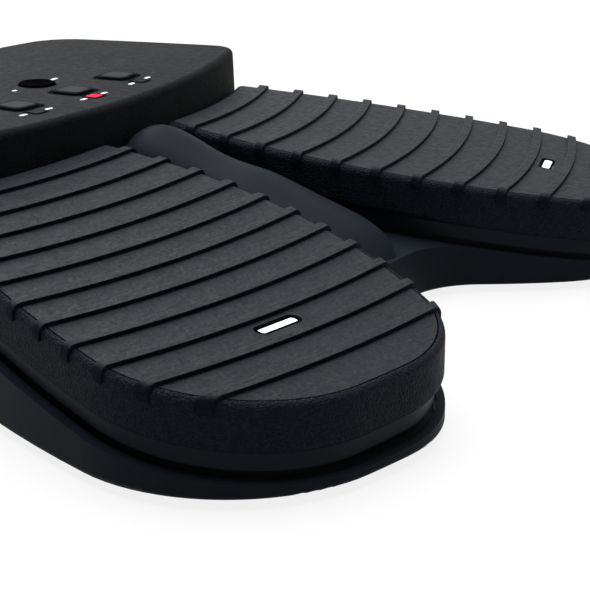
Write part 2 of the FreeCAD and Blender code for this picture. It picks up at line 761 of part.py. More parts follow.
def bottom_plate():
    """Flat plate that closes the base from below, with screw cups and the cell bay's opening."""
    plate = slab(base_outline(-(BASE_WALL + PLATE_FIT)), FOOT_H, PLATE_TOP_Z)
    wall = well_wall()
    cups = [post(place, CUP_R, FOOT_H, CUP_TOP_Z) for place in boss_places()]
    cups += [wall, mirrored(wall)]
    cuts = [block(V(0, CELL_BAY_Y, 0), CELL_BAY_X, CELL_BAY_DEPTH, 0, TALL)]
    for place in boss_places():
        cuts.append(post(place, SCREW_HEAD_R + FIT, 0, CUP_TOP_Z - CUP_FLOOR_T))
        cuts.append(post(place, SCREW_R + FIT, 0, TALL))
    cuts += [post(place, SCREW_R + SCREW_FIT, 0, TALL) for place in bracket_screw_places()]
    return one(plate.multiFuse(cups).removeSplitter().cut(cuts))


def pod_form(inset, low, high):
    """Pod's outer form, or the same form drawn in, between two heights."""
    span = POD_TOP_Z - PARTING_Z
    wires = []
    for height in (low, high):
        flare = POD_FLARE * (height - PARTING_Z) / span
        wire = pod_outline(-inset, flare).OuterWire
        wire.translate(UP * height)
        wires.append(wire)
    return Part.makeLoft(wires, True, True)


def square_on_arc(radius, degrees, side, corner, low, high):
    """Upright square bar with round corners, standing on an arc and turned with it."""
    bar = slab(rounded_rectangle(side, side, corner), low, high)
    bar.rotate(V(0, 0, 0), UP, degrees)
    bar.translate(on_arc(radius, degrees))
    return bar


def control_openings():
    """Holes in the pod's top for the keys and the indicator windows."""
    cuts = [post(on_arc(ROUND_KEY_ARC_R, ROUND_KEY_TURN), ROUND_KEY_R + KEY_SLACK, PARTING_Z, TALL)]
    side, corner = KEY_SIDE + 2 * KEY_SLACK, KEY_CORNER + KEY_SLACK
    for turn in KEY_ANGLES:
        cuts.append(square_on_arc(KEY_ARC_R, turn, side, corner, PARTING_Z, TALL))
    lens = WINDOW_SIDE + 2 * WINDOW_FIT
    for turn in WINDOW_ANGLES:
        cuts.append(square_on_arc(WINDOW_ARC_R, turn, lens, WINDOW_CORNER + WINDOW_FIT, PARTING_Z, TALL))
    return cuts


def control_posts(radius, low, high):
    """Four posts that carry the control board, for the cover's posts and the board's holes."""
    places = [V(place.x * side, place.y, 0) for place in CONTROL_POSTS for side in (-1, 1)]
    return [post(place, radius, low, high) for place in places]


def pod_cover():
    """Textured cover over the electronics, open at the front for the hinge arms."""
    low = PARTING_Z + PARTING_GAP
    body = pod_form(0, low, POD_TOP_Z)
    body = rounded_top(body, POD_EDGE_ROUND)
    body = body.cut(pod_form(POD_WALL, low - 1, POD_ROOF_Z))
    arms = slab(pedal_outline(WELL_GAP - BAND_INSET, WELL_REAR_R), 0, SILL_Z)
    low, high = MAIN_BOARD_TOP_Z - USB_GAP, MAIN_BOARD_TOP_Z + USB_H + USB_GAP
    usb = block(V(0, POD_REAR_Y, 0), USB_W + 2 * USB_GAP, 2 * USB_D, low, high)
    body = body.cut([arms, mirrored(arms), usb] + control_openings())
    bosses = [post(place, BOSS_R, CUP_TOP_Z, POD_ROOF_Z) for place in boss_places()[:-1]]
    bosses += control_posts(STANDOFF_R, CONTROL_BOARD_TOP_Z, POD_ROOF_Z)
    holes = [
        post(place, SCREW_R + SCREW_FIT, CUP_TOP_Z, CUP_TOP_Z + HOUSING_SCREW_L) for place in boss_places()[:-1]
    ]
    top = CONTROL_BOARD_TOP_Z
    holes += control_posts(SCREW_R + SCREW_FIT, top, top + SHORT_SCREW_L)
    return one(body.multiFuse(bosses).cut(holes).removeSplitter())


def square_key(degrees):
    """Square key cap with a flange that stops it under the pod's top."""
    cap = square_on_arc(KEY_ARC_R, degrees, KEY_SIDE, KEY_CORNER, KEY_FLANGE_Z, POD_TOP_Z + KEY_PROUD)
    cap = rounded_top(cap, KEY_EDGE_ROUND)
    wide = KEY_SIDE + 2 * (KEY_SLACK + KEY_FLANGE)
    top = KEY_FLANGE_Z + KEY_FLANGE_T
    flange = square_on_arc(KEY_ARC_R, degrees, wide, KEY_CORNER + KEY_FLANGE, KEY_FLANGE_Z, top)
    return one(cap.fuse(flange).removeSplitter())


def round_key():
    """Round key cap with a dished top and a flange."""
    centre = on_arc(ROUND_KEY_ARC_R, ROUND_KEY_TURN)
    top = POD_TOP_Z + ROUND_KEY_PROUD
    cap = rounded_top(post(centre, ROUND_KEY_R, KEY_FLANGE_Z, top), KEY_EDGE_ROUND)
    bowl = Part.makeSphere(ROUND_KEY_DISH_R, centre + UP * (top + ROUND_KEY_DISH_R - ROUND_KEY_DISH))
    flange_r = ROUND_KEY_R + KEY_SLACK + KEY_FLANGE
    flange = post(centre, flange_r, KEY_FLANGE_Z, KEY_FLANGE_Z + KEY_FLANGE_T)
    return one(cap.cut(bowl).fuse(flange).removeSplitter())


def window(degrees):
    """Clear indicator window in the pod's top."""
    low = CONTROL_BOARD_TOP_Z + CHIP_H + FIT
    return square_on_arc(WINDOW_ARC_R, degrees, WINDOW_SIDE, WINDOW_CORNER, low, POD_TOP_Z + WINDOW_PROUD)


def control_board():
    """Board under the pod's top, with a front edge that follows the pod's wall."""
    depth = POD_FRONT_R + CONTROL_BOARD_REAR_Y
    middle = V(0, CONTROL_BOARD_REAR_Y - depth / 2, 0)
    top = CONTROL_BOARD_TOP_Z
    board = block(middle, 2 * CONTROL_BOARD_HALF, depth, top - BOARD_T, top)
    edge = disc(V(0, 0, 0), POD_FRONT_R - POD_WALL - CONTROL_BOARD_EDGE_GAP)
    board = board.common(slab(edge, 0, TALL))
    return one(board.cut(control_posts(SCREW_R + SCREW_FIT, 0, TALL)))


def key_places():
    """Arc radius and angle of the round key and of the three square ones."""
    return [(ROUND_KEY_ARC_R, ROUND_KEY_TURN)] + [(KEY_ARC_R, turn) for turn in KEY_ANGLES]


def key_switches():
    """Push switches on the control board, one under each key, each with a well for its plunger."""
    low, top = CONTROL_BOARD_TOP_Z, TACT_BODY_TOP_Z
    switches = []
    for radius, turn in key_places():
        body = square_on_arc(radius, turn, TACT_SIDE, WINDOW_CORNER, low, top)
        bottom = KEY_FLANGE_Z - TACT_STEM_DEPTH - KEY_TRAVEL - FIT
        switches.append(body.cut(post(on_arc(radius, turn), TACT_STEM_R + TACT_STEM_FIT, bottom, top + 1)))
    return Part.makeCompound([one(switch) for switch in switches])


def plunger(place):
    """Plunger of one push switch, under its key."""
    radius, turn = place
    return post(on_arc(radius, turn), TACT_STEM_R, KEY_FLANGE_Z - TACT_STEM_DEPTH, KEY_FLANGE_Z)


def indicator_chips():
    """Lamp chips on the control board, one under each window."""
    low = CONTROL_BOARD_TOP_Z
    chips = []
    for turn in WINDOW_ANGLES:
        chips.append(square_on_arc(WINDOW_ARC_R, turn, CHIP_SIDE, WINDOW_CORNER, low, low + CHIP_H))
    return Part.makeCompound(chips)


def main_board_posts(radius, low, high):
    """Four posts between the cell holder and the main board."""
    places = []
    for side in (-1, 1):
        for end in (-1, 1):
            places.append(V(MAIN_BOARD_POST_X * side, MAIN_BOARD_MID_Y + MAIN_BOARD_POST_Y * end, 0))
    return [post(place, radius, low, high) for place in places]


def main_board():
    """Main board over the cell holder."""
    middle = V(0, MAIN_BOARD_MID_Y, 0)
    board = block(middle, MAIN_BOARD_X, MAIN_BOARD_Y, MAIN_BOARD_Z, MAIN_BOARD_TOP_Z)
    return one(board.cut(main_board_posts(SCREW_R + SCREW_FIT, 0, TALL)))


def radio_module():
    """Screened radio module on the main board."""
    place = V(RADIO_PLACE_X, MAIN_BOARD_MID_Y, 0)
    can = block(place, RADIO_X, RADIO_Y, MAIN_BOARD_TOP_Z, MAIN_BOARD_TOP_Z + RADIO_H)
    return can.makeChamfer(KEY_EDGE_ROUND, top_face(can).Edges)


def usb_socket():
    """Charging socket at the rear edge of the main board."""
    rear = POD_REAR_Y - POD_FLARE * (MAIN_BOARD_TOP_Z - PARTING_Z) / (POD_TOP_Z - PARTING_Z) - USB_SINK
    middle = V(0, rear - USB_D / 2, 0)
    low, high = MAIN_BOARD_TOP_Z, MAIN_BOARD_TOP_Z + USB_H
    body = block(middle, USB_W, USB_D, low, high)
    sides = [edge for edge in body.Edges if edge.Vertexes[0].Point.y != edge.Vertexes[1].Point.y]
    body = body.makeFillet(USB_H / 3, sides)
    mouth = block(middle + V(0, USB_WALL * 2, 0), USB_W - 2 * USB_WALL, USB_D, low + USB_WALL, high - USB_WALL)
    centre = (low + high) / 2
    tongue = block(middle, USB_W / 2, USB_D - USB_SINK, centre - USB_TONGUE_T / 2, centre + USB_TONGUE_T / 2)
    return one(body.cut(mouth).fuse(tongue).removeSplitter())


def cell_holder():
    """Holder that carries both cells and their contacts, open below for the door."""
    middle = V(0, CELL_BAY_Y, 0)
    wide, deep = CELL_BAY_X + 2 * HOLDER_WALL, CELL_BAY_DEPTH + 2 * HOLDER_WALL
    body = block(middle, wide, deep, PLATE_TOP_Z, HOLDER_TOP_Z)
    tab_top = PLATE_TOP_Z + HOLDER_TAB_T
    tabs = block(V(0, HOLDER_TAB_Y, 0), wide + 2 * HOLDER_TAB, HOLDER_TAB, PLATE_TOP_Z, tab_top)
    body = body.multiFuse([tabs] + main_board_posts(STANDOFF_R, HOLDER_TOP_Z, MAIN_BOARD_Z))
    cuts = [block(middle, CELL_BAY_X, CELL_BAY_DEPTH, 0, HOLDER_TOP_Z - HOLDER_WALL)]
    for side in (-1, 1):
        place = V(DOOR_TONGUE_X * side, CELL_BAY_FRONT_Y, 0)
        cuts.append(block(place, DOOR_TONGUE_W + 1, 4 * HOLDER_WALL, 0, PLATE_TOP_Z + DOOR_SLOT_H))
    cuts += main_board_posts(SCREW_R + SCREW_FIT, HOLDER_TOP_Z, MAIN_BOARD_Z + 1)
    cuts += [post(place, SCREW_R + SCREW_FIT, 0, TALL) for place in bracket_screw_places()[-2:]]
    return one(body.cut(cuts).removeSplitter())


def cell_rows():
    """Middle line of each cell, with the end that its nub points to."""
    return [(CELL_BAY_Y - CELL_PITCH / 2, 1), (CELL_BAY_Y + CELL_PITCH / 2, -1)]


def cells():
    """Two round cells side by side, head to tail."""
    solids = []
    for y, nub in cell_rows():
        start = V(-nub * CELL_L / 2, y, CELL_Z)
        body = Part.makeCylinder(CELL_R, CELL_L - CELL_NUB_L, start, V(nub, 0, 0))
        tip = Part.makeCylinder(CELL_NUB_R, CELL_L, start, V(nub, 0, 0))
        solids.append(one(body.fuse(tip).removeSplitter()))
    return Part.makeCompound(solids)


def cell_contacts():
    """Contact plates at both ends of each cell, each with a cone that bears on the cell."""
    solids = []
    half = CELL_BAY_X / 2
    for y, _ in cell_rows():
        for end in (-1, 1):
            low, high = CELL_Z - CONTACT_SIDE / 2, CELL_Z + CONTACT_SIDE / 2
            plate = block(V(end * (half - CONTACT_T / 2), y, 0), CONTACT_T, CONTACT_SIDE, low, high)
            reach = CONTACT_ROOM - CONTACT_T
            base = V(end * (half - CONTACT_T), y, CELL_Z)
            cone = Part.makeCone(CELL_NUB_R * 1.4, CELL_NUB_R / 2, reach, base, V(-end, 0, 0))
            solids.append(one(plate.fuse(cone).removeSplitter()))
    return Part.makeCompound(solids)


def cell_door():
    """Door over the cells, turning on two tongues at its front edge."""
    wide, deep = CELL_BAY_X - 2 * DOOR_FIT, CELL_BAY_DEPTH - 2 * DOOR_FIT
    panel = block(V(0, CELL_BAY_Y, 0), wide, deep, FOOT_H, PLATE_TOP_Z)
    low = PLATE_TOP_Z + DOOR_TONGUE_LIFT
    tongues = []
    for side in (-1, 1):
        place = V(DOOR_TONGUE_X * side, CELL_BAY_FRONT_Y + DOOR_FIT, 0)
        tongues.append(block(place, DOOR_TONGUE_W, 2 * DOOR_TONGUE_L, low, low + DOOR_TONGUE_T))
        heel = place + V(0, DOOR_TONGUE_L / 2, 0)
        tongues.append(block(heel, DOOR_TONGUE_W, DOOR_TONGUE_L, FOOT_H, low + DOOR_TONGUE_T))
    grip = post(V(0, CELL_BAY_Y + deep / 2, 0), DOOR_GRIP_R, FOOT_H - 1, FOOT_H + PLATE_T / 2)
    return one(panel.multiFuse(tongues).cut(grip).removeSplitter())


def ear_starts():
    """Inner faces of the bracket's four ears along the hinge line."""
    starts = []
    for middle in ARM_MIDS:
        starts.append(middle - ARM_W / 2 - EAR_GAP - EAR_T)
        starts.append(middle + ARM_W / 2 + EAR_GAP)
    return starts


def bracket_ends():
    """Where a hinge bracket starts and ends along the hinge line."""
    starts = ear_starts()
    return starts[0] - BRACKET_END, starts[-1] + EAR_T + BRACKET_END


def bracket_base(gap):
    """Flat base of a hinge bracket, grown by a gap."""
    near, far = HINGE_REACH - BRACKET_DEPTH / 2 - gap, HINGE_REACH + BRACKET_DEPTH / 2 + gap
    low, high = PLATE_TOP_Z - gap, PLATE_TOP_Z + BRACKET_T + gap
    first, last = bracket_ends()
    return cross_section([(near, low), (far, low), (far, high), (near, high)], first - gap, last + gap)


def hinge_bracket():
    """Bracket with four ears that hold the hinge pin, and steps that carry the rest pads."""
    near, low = HINGE_REACH - BRACKET_DEPTH / 2, PLATE_TOP_Z
    pieces = []
    for start in ear_starts():
        points = [
            (HINGE_REACH - EAR_FOOT / 2, low),
            (HINGE_REACH + EAR_FOOT / 2, low),
            (HINGE_REACH + EAR_R, HINGE_Z),
            (HINGE_REACH - EAR_R, HINGE_Z),
        ]
        pieces.append(cross_section(points, start, start + EAR_T))
        pieces.append(hinge_rod(EAR_R, start, start + EAR_T))
    for middle in ARM_MIDS:
        step = [
            (near, low),
            (near + REST_PAD_L, low),
            (near + REST_PAD_L, TAIL_Z - REST_PAD_T),
            (near, TAIL_Z - REST_PAD_T),
        ]
        pieces.append(cross_section(step, middle - ARM_W / 2, middle + ARM_W / 2))
    bore = hinge_rod(PIN_R + PIN_RUNNING, *bracket_ends())
    holes = [post(place, SCREW_R + SCREW_FIT, 0, HINGE_Z) for place in bracket_screw_places()[:2]]
    return one(bracket_base(0).multiFuse(pieces).cut([bore] + holes).removeSplitter())


def rest_pads():
    """Rubber pads on the bracket, under the tails of the two arms."""
    near = HINGE_REACH - BRACKET_DEPTH / 2
    points = [
        (near, TAIL_Z - REST_PAD_T),
        (near + REST_PAD_L, TAIL_Z - REST_PAD_T),
        (near + REST_PAD_L, TAIL_Z),
        (near, TAIL_Z),
    ]
    return Part.makeCompound([cross_section(points, mid - ARM_W / 2, mid + ARM_W / 2) for mid in ARM_MIDS])


def hinge_pin():
    """Steel pin through the ears and knuckles, with a flat head."""
    starts = ear_starts()
    end = starts[-1] + EAR_T
    rod = hinge_rod(PIN_R, starts[0] - PIN_HEAD_T, end)
    head = hinge_rod(PIN_HEAD_R, end, end + PIN_HEAD_T)
    return one(rod.fuse(head).removeSplitter())


def return_spring():
    """Leaf spring bent into a U, one leg on the bottom plate and one under the frame."""
    low, high = PLATE_TOP_Z, SPRING_TOP_Z
    bend, tip, inner = SPRING_REACH, SPRING_REACH + SPRING_LEG, SPRING_T
    centre = low + SPRING_BEND_R
    start = HINGE_MID - SPRING_W / 2

    def at(ahead, height):
        return local(start, ahead, height)

    edges = [
        Part.makeLine(at(tip, low), at(bend, low)),
        Part.Arc(at(bend, low), at(bend - SPRING_BEND_R, centre), at(bend, high)).toShape(),
        Part.makeLine(at(bend, high), at(tip, high)),
        Part.makeLine(at(tip, high), at(tip, high - inner)),
        Part.makeLine(at(tip, high - inner), at(bend, high - inner)),
        Part.Arc(
            at(bend, high - inner), at(bend - SPRING_BEND_R + inner, centre), at(bend, low + inner)
        ).toShape(),
        Part.makeLine(at(bend, low + inner), at(tip, low + inner)),
        Part.makeLine(at(tip, low + inner), at(tip, low)),
    ]
    return Part.Face(Part.Wire(edges)).extrude(AXIS * SPRING_W)


def bumper():
    """Rubber stop that ends the pedal's travel, under the frame's front rib."""
    dip = (BUMPER_REACH + BUMPER_R - HINGE_REACH) * DIP
    top = pedal_z(BUMPER_REACH, BAND_DROP) - dip - BUMPER_GAP
    return post(local(HINGE_MID, BUMPER_REACH, 0), BUMPER_R, PLATE_TOP_Z, top)


def pedal_sensor():
    """Small board with a magnetic sensor under the pedal's magnet."""
    place = local(HINGE_MID, SENSOR_REACH, 0)
    top = PLATE_TOP_Z + BOARD_T
    board = turned_block(place, SENSOR_BOARD_SIDE, SENSOR_BOARD_SIDE, PLATE_TOP_Z, top)
    chip = turned_block(place, CHIP_SIDE, CHIP_SIDE, top, top + CHIP_H)
    return one(board.fuse(chip).removeSplitter())


def feet():
    """Round rubber feet under the bottom plate."""
    places = [V(place.x * side, place.y, 0) for place in FOOT_PLACES for side in (-1, 1)]
    places.append(V(0, FRONT_FOOT_Y, 0))
    solids = []
    for place in places:
        pad = post(place, FOOT_R, 0, FOOT_H)
        sole = min(pad.Faces, key=lambda face: face.CenterOfMass.z)
        groove = post(place, FOOT_GROOVE_R, -1, FOOT_GROOVE_DEPTH)
        groove = groove.cut(post(place, FOOT_GROOVE_R - FOOT_GROOVE_W, -1, FOOT_H))
        solids.append(one(pad.makeFillet(FOOT_EDGE, sole.Edges).cut(groove)))
    return Part.makeCompound(solids)


def screw(place, seat, length, up):
    """Pan-head screw whose head bears on a seat, pointing up or down from it."""
    side = 1 if up else -1
    head = post(place, SCREW_HEAD_R, min(seat, seat - side * SCREW_HEAD_T), max(seat, seat - side * SCREW_HEAD_T))
    shank = post(place, SCREW_R, min(seat, seat + side * length), max(seat, seat + side * length))
    return one(head.fuse(shank).removeSplitter())


def housing_screws():
    """Long screws from below into the cover's bosses and the spine's boss."""
    seat = CUP_TOP_Z - CUP_FLOOR_T
    return Part.makeCompound([screw(place, seat, HOUSING_SCREW_L, True) for place in boss_places()])


def short_screws():
    """Short screws that hold the hinge brackets, the cell holder and the boards."""
    seats = [PLATE_TOP_Z + BRACKET_T] * 4 + [PLATE_TOP_Z + HOLDER_TAB_T] * 2
    screws = [
        screw(place, seat, SHORT_SCREW_L, False) for place, seat in zip(bracket_screw_places(), seats)
    ]
    for place in [item.CenterOfMass for item in main_board_posts(1, 0, 1)]:
        screws.append(screw(place, MAIN_BOARD_TOP_Z, SHORT_SCREW_L, False))
    for place in [item.CenterOfMass for item in control_posts(1, 0, 1)]:
        screws.append(screw(place, CONTROL_BOARD_TOP_Z - BOARD_T, SHORT_SCREW_L, True))
    return Part.makeCompound(screws)


def light_board_screws():
    """Short screws under the light board, into the frame's posts."""
    seat = light_board_top_z() - LIGHT_BOARD_T
    places = [item.CenterOfMass for item in light_board_posts(1, 0, 1)]
    return Part.makeCompound([screw(place, seat, SHORT_SCREW_L - 1, True) for place in places])


RIGHT_HAND = {
    "pedal_shell": pedal_shell,
    "pedal_tread": pedal_tread,
    "pedal_frame": pedal_frame,
    "light_bar": light_bar,
    "light_board": light_board,
    "light_board_screws": light_board_screws,
    "magnet": magnet,
    "hinge_bracket": hinge_bracket,
    "hinge_pin": hinge_pin,
    "rest_pads": rest_pads,
    "return_spring": return_spring,
    "bumper": bumper,
    "pedal_sensor": pedal_sensor,
}

SINGLE = {
    "base_housing": base_housing,
    "bottom_plate": bottom_plate,
    "pod_cover": pod_cover,
    "left_key": lambda: square_key(KEY_ANGLES[0]),
    "centre_key": lambda: square_key(KEY_ANGLES[1]),
    "right_key": lambda: square_key(KEY_ANGLES[2]),
    "round_key": round_key,
    "round_plunger": lambda: plunger(key_places()[0]),
    "left_plunger": lambda: plunger(key_places()[1]),
    "centre_plunger": lambda: plunger(key_places()[2]),
    "right_plunger": lambda: plunger(key_places()[3]),
    "centre_window": lambda: window(WINDOW_ANGLES[1]),
    "side_windows": lambda: Part.makeCompound([window(turn) for turn in WINDOW_ANGLES[::2]]),
    "control_board": control_board,
    "key_switches": key_switches,
    "indicator_chips": indicator_chips,
    "main_board": main_board,
    "radio_module": radio_module,
    "usb_socket": usb_socket,
    "cell_holder": cell_holder,
    "cells": cells,
    "cell_contacts": cell_contacts,
    "cell_door": cell_door,
    "feet": feet,
    "housing_screws": housing_screws,
    "short_screws": short_screws,
}


def save(name, shape, shift):
    """Move a piece to the part's own frame and write it."""
    moved = shape.copy()
    moved.translate(shift)
    moved.exportStep("parts/" + name + ".step")
    box = moved.BoundBox
    corners = [round(v, 2) for v in (box.XMin, box.YMin, box.ZMin, box.XMax, box.YMax, box.ZMax)]
    print(name, moved.isValid(), len(moved.Solids), round(moved.Volume), corners)


def main():
    """Write every piece about the middle of the underside."""
    os.makedirs("parts", exist_ok=True)
    box = base_outline().BoundBox
    shift = V(0, -(box.YMin + box.YMax) / 2, 0)
    for name, make in SINGLE.items():
        save(name, make(), shift)
    for name, make in RIGHT_HAND.items():
        shape = make()
        save("right_" + name, shape, shift)
        save("left_" + name, mirrored(shape), shift)
    hinge = local(HINGE_MID, HINGE_REACH, HINGE_Z) + shift
    door = V(0, CELL_BAY_FRONT_Y + DOOR_FIT, FOOT_H) + shift
    usb = V(0, POD_REAR_Y, MAIN_BOARD_TOP_Z + USB_H / 2) + shift
    for name, place in (("hinge", hinge), ("axis", AXIS), ("door", door), ("usb", usb)):
        print(name, [round(value, 4) for value in place])


main()
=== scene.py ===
"""Looks of a page turner pedal: finishes for its moulded, rubber and metal parts, and the small trim
that the solids leave out. Metres; +X right, -Y towards the pedal tips, +Z up.
"""
from __future__ import annotations

import logging
import math
from dataclasses import dataclass
from enum import Enum

import bmesh
import bpy
from mathutils import Matrix, Vector

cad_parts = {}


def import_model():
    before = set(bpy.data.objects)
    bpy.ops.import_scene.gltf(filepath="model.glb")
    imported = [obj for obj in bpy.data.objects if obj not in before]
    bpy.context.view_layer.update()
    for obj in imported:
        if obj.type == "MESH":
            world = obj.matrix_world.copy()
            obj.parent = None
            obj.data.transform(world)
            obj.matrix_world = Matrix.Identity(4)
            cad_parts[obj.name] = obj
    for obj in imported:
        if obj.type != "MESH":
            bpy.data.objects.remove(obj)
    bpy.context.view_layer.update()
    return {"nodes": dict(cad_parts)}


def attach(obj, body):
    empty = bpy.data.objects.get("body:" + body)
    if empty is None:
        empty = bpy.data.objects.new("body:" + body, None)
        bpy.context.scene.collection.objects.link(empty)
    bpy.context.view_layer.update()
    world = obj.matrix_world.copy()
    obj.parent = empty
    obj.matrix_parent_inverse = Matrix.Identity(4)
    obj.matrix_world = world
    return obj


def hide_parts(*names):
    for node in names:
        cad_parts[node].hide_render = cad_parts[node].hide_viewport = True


LOG = logging.getLogger("page_turner_pedal")

MM = 0.001

# The ribs, the pod's front, the keys and the light bars lie on arcs about a line through this point.
ARC_CENTRE = Vector((0.0, 0.2205596, 0.0))
POD_TOP = 0.0458

WHITE = (1.0, 1.0, 1.0)
BLACK = (0.001, 0.001, 0.0015)
EVEN = (1.0, 1.0, 1.0)
ALONG_X = (0.04, 1.0, 1.0)
RIM_SAMPLES = 8
EDGE_SAMPLES = 4
CORNER_STEPS = 5

# The rim's mask looks this many rim widths in from an edge, and falls from 1 to 0 between these two
# likenesses of the rounded normal to the flat one.
RIM_SEARCH = 1.8
RIM_LIKENESS = (0.965, 0.99)

# Which values of a noise a finish spreads over its own range: in general, in patches and in specks.
NOISE_RANGE = (0.3, 0.7)
PATCH_RANGE = (0.12, 0.4)
SPECK_RANGE = (0.38, 0.66)

PATCH_SIZE = 18 * MM
UNEVEN_ROUGHNESS = 0.06
CREASE_WIDTH = 0.25

Colour = tuple[float, float, float]


class Grain(Enum):
    """Kinds of surface texture that a mould or a machine leaves."""

    PEBBLE = "pebble"
    LEATHER = "leather"
    SPARK = "spark"
    BRUSHED = "brushed"


class Nodes:
    """Shorthand for building one material's node tree."""

    def __init__(self, name: str) -> None:
        """Start an empty material.

        Args:
            name: the material's name.
        """
        self.material = bpy.data.materials.new(name)
        self.material.use_nodes = True
        self.tree = self.material.node_tree
        self.tree.nodes.clear()
        self.output = self.add("ShaderNodeOutputMaterial")
        self.coordinates = self.add("ShaderNodeTexCoord").outputs["Object"]

    def add(self, kind: str, **settings: object) -> bpy.types.Node:
        """Add a node and set its properties.

        Args:
            kind: the node's type name.
            **settings: properties of the node, not of its sockets.

        Returns:
            The new node.
        """
        node = self.tree.nodes.new(kind)
        for key, value in settings.items():
            setattr(node, key, value)
        return node

    def put(self, socket: bpy.types.NodeSocket, value: object) -> None:
        """Link a socket or set its value.

        Args:
            socket: the input socket.
            value: a socket to link from, or a plain value.
        """
        if isinstance(value, bpy.types.NodeSocket):
            self.tree.links.new(value, socket)
        else:
            socket.default_value = value

    def feed(self, node: bpy.types.Node, **values: object) -> bpy.types.Node:
        """Set or link sockets by name, with underscores for spaces.

        Args:
            node: the node whose inputs are fed.
            **values: a socket to link from, or a plain value.

        Returns:
            The same node.
        """
        for key, value in values.items():
            self.put(node.inputs[key.replace("_", " ")], value)
        return node

    def math(self, operation: str, *values: object) -> bpy.types.NodeSocket:
        """Add a math node.

        Args:
            operation: the sum to do.
            *values: sockets or numbers, in order.

        Returns:
            The result's socket.
        """
        node = self.add("ShaderNodeMath", operation=operation)
        for socket, value in zip(node.inputs, values):
            self.put(socket, value)
        return node.outputs[0]

    def vector(self, operation: str, first: object, second: object) -> bpy.types.Node:
        """Add a vector math node with two inputs.

        Args:
            operation: the sum to do.
            first: a socket or three numbers.
            second: a socket or three numbers.

        Returns:
            The new node.
        """
        node = self.add("ShaderNodeVectorMath", operation=operation)
        for socket, value in zip(node.inputs, (first, second)):
            self.put(socket, value)
        return node

    def noise(
        self, size: float, detail: float = 2.0, stretch: tuple[float, float, float] = EVEN
    ) -> bpy.types.NodeSocket:
        """Add a noise texture.

        Args:
            size: size of its features in metres.
            detail: how many finer layers it has.
            stretch: factors for the three axes.

        Returns:
            Its value, about 0 to 1.
        """
        place = self.add("ShaderNodeMapping")
        self.feed(place, Vector=self.coordinates, Scale=stretch)
        node = self.add("ShaderNodeTexNoise")
        self.feed(node, Vector=place.outputs[0], Scale=1.0 / size, Detail=detail)
        return node.outputs[0]

    def cells(self, size: float, feature: str = "SMOOTH_F1") -> bpy.types.NodeSocket:
        """Add a cell texture.

        Args:
            size: size of a cell in metres.
            feature: which distance it gives.

        Returns:
            The distance.
        """
        node = self.add("ShaderNodeTexVoronoi", feature=feature)
        self.feed(node, Vector=self.coordinates, Scale=1.0 / size)
        return node.outputs["Distance"]

    def span(
        self, value: bpy.types.NodeSocket, low: float, high: float, to: tuple[float, float]
    ) -> bpy.types.NodeSocket:
        """Map a value smoothly from one range to another.

        Args:
            value: the value to map.
            low: where the range starts.
            high: where it ends.
            to: what the two ends become.

        Returns:
            The mapped value.
        """
        node = self.add("ShaderNodeMapRange", interpolation_type="SMOOTHSTEP")
        self.feed(node, Value=value, From_Min=low, From_Max=high, To_Min=to[0], To_Max=to[1])
        return node.outputs[0]

    def mix(self, share: bpy.types.NodeSocket, first: object, second: object) -> bpy.types.NodeSocket:
        """Mix two colours.

        Args:
            share: how much of the second.
            first: a socket or a colour.
            second: a socket or a colour.

        Returns:
            The mixed colour.
        """
        node = self.add("ShaderNodeMix", data_type="RGBA")
        self.tree.links.new(share, node.inputs["Factor"])
        # The node has an A, a B and a result for each kind of value. These are the ones for colours.
        for socket, value in zip((node.inputs[6], node.inputs[7]), (first, second)):
            self.put(socket, value if isinstance(value, bpy.types.NodeSocket) else (*value, 1.0))
        return node.outputs[2]

    def bump(
        self, height: bpy.types.NodeSocket, depth: float, base: bpy.types.NodeSocket | None = None
    ) -> bpy.types.NodeSocket:
        """Add a bump node.

        Args:
            height: height from 0 to 1.
            depth: what a height of 1 stands for, in metres.
            base: the normal to bend, if not the surface's own.

        Returns:
            The bent normal.
        """
        node = self.feed(self.add("ShaderNodeBump"), Height=height, Distance=depth, Strength=1.0)
        if base is not None:
            self.feed(node, Normal=base)
        return node.outputs[0]

    def rim(self, width: float) -> bpy.types.NodeSocket:
        """Mask of the rim along a piece's sharp outer edges.

        Args:
            width: how far the rim reaches in from the edge.

        Returns:
            1 on the rim and 0 inside it.
        """
        edge = self.add("ShaderNodeBevel", samples=RIM_SAMPLES)
        rounded = self.feed(edge, Radius=width * RIM_SEARCH).outputs[0]
        flat = self.add("ShaderNodeNewGeometry").outputs["Normal"]
        likeness = self.vector("DOT_PRODUCT", rounded, flat).outputs["Value"]
        return self.span(likeness, *RIM_LIKENESS, (1.0, 0.0))

    def surface(self, **values: object) -> bpy.types.Node:
        """Add the surface shader and link it to the output.

        Args:
            **values: its sockets.

        Returns:
            The shader.
        """
        shader = self.feed(self.add("ShaderNodeBsdfPrincipled"), **values)
        self.tree.links.new(shader.outputs[0], self.output.inputs["Surface"])
        return shader


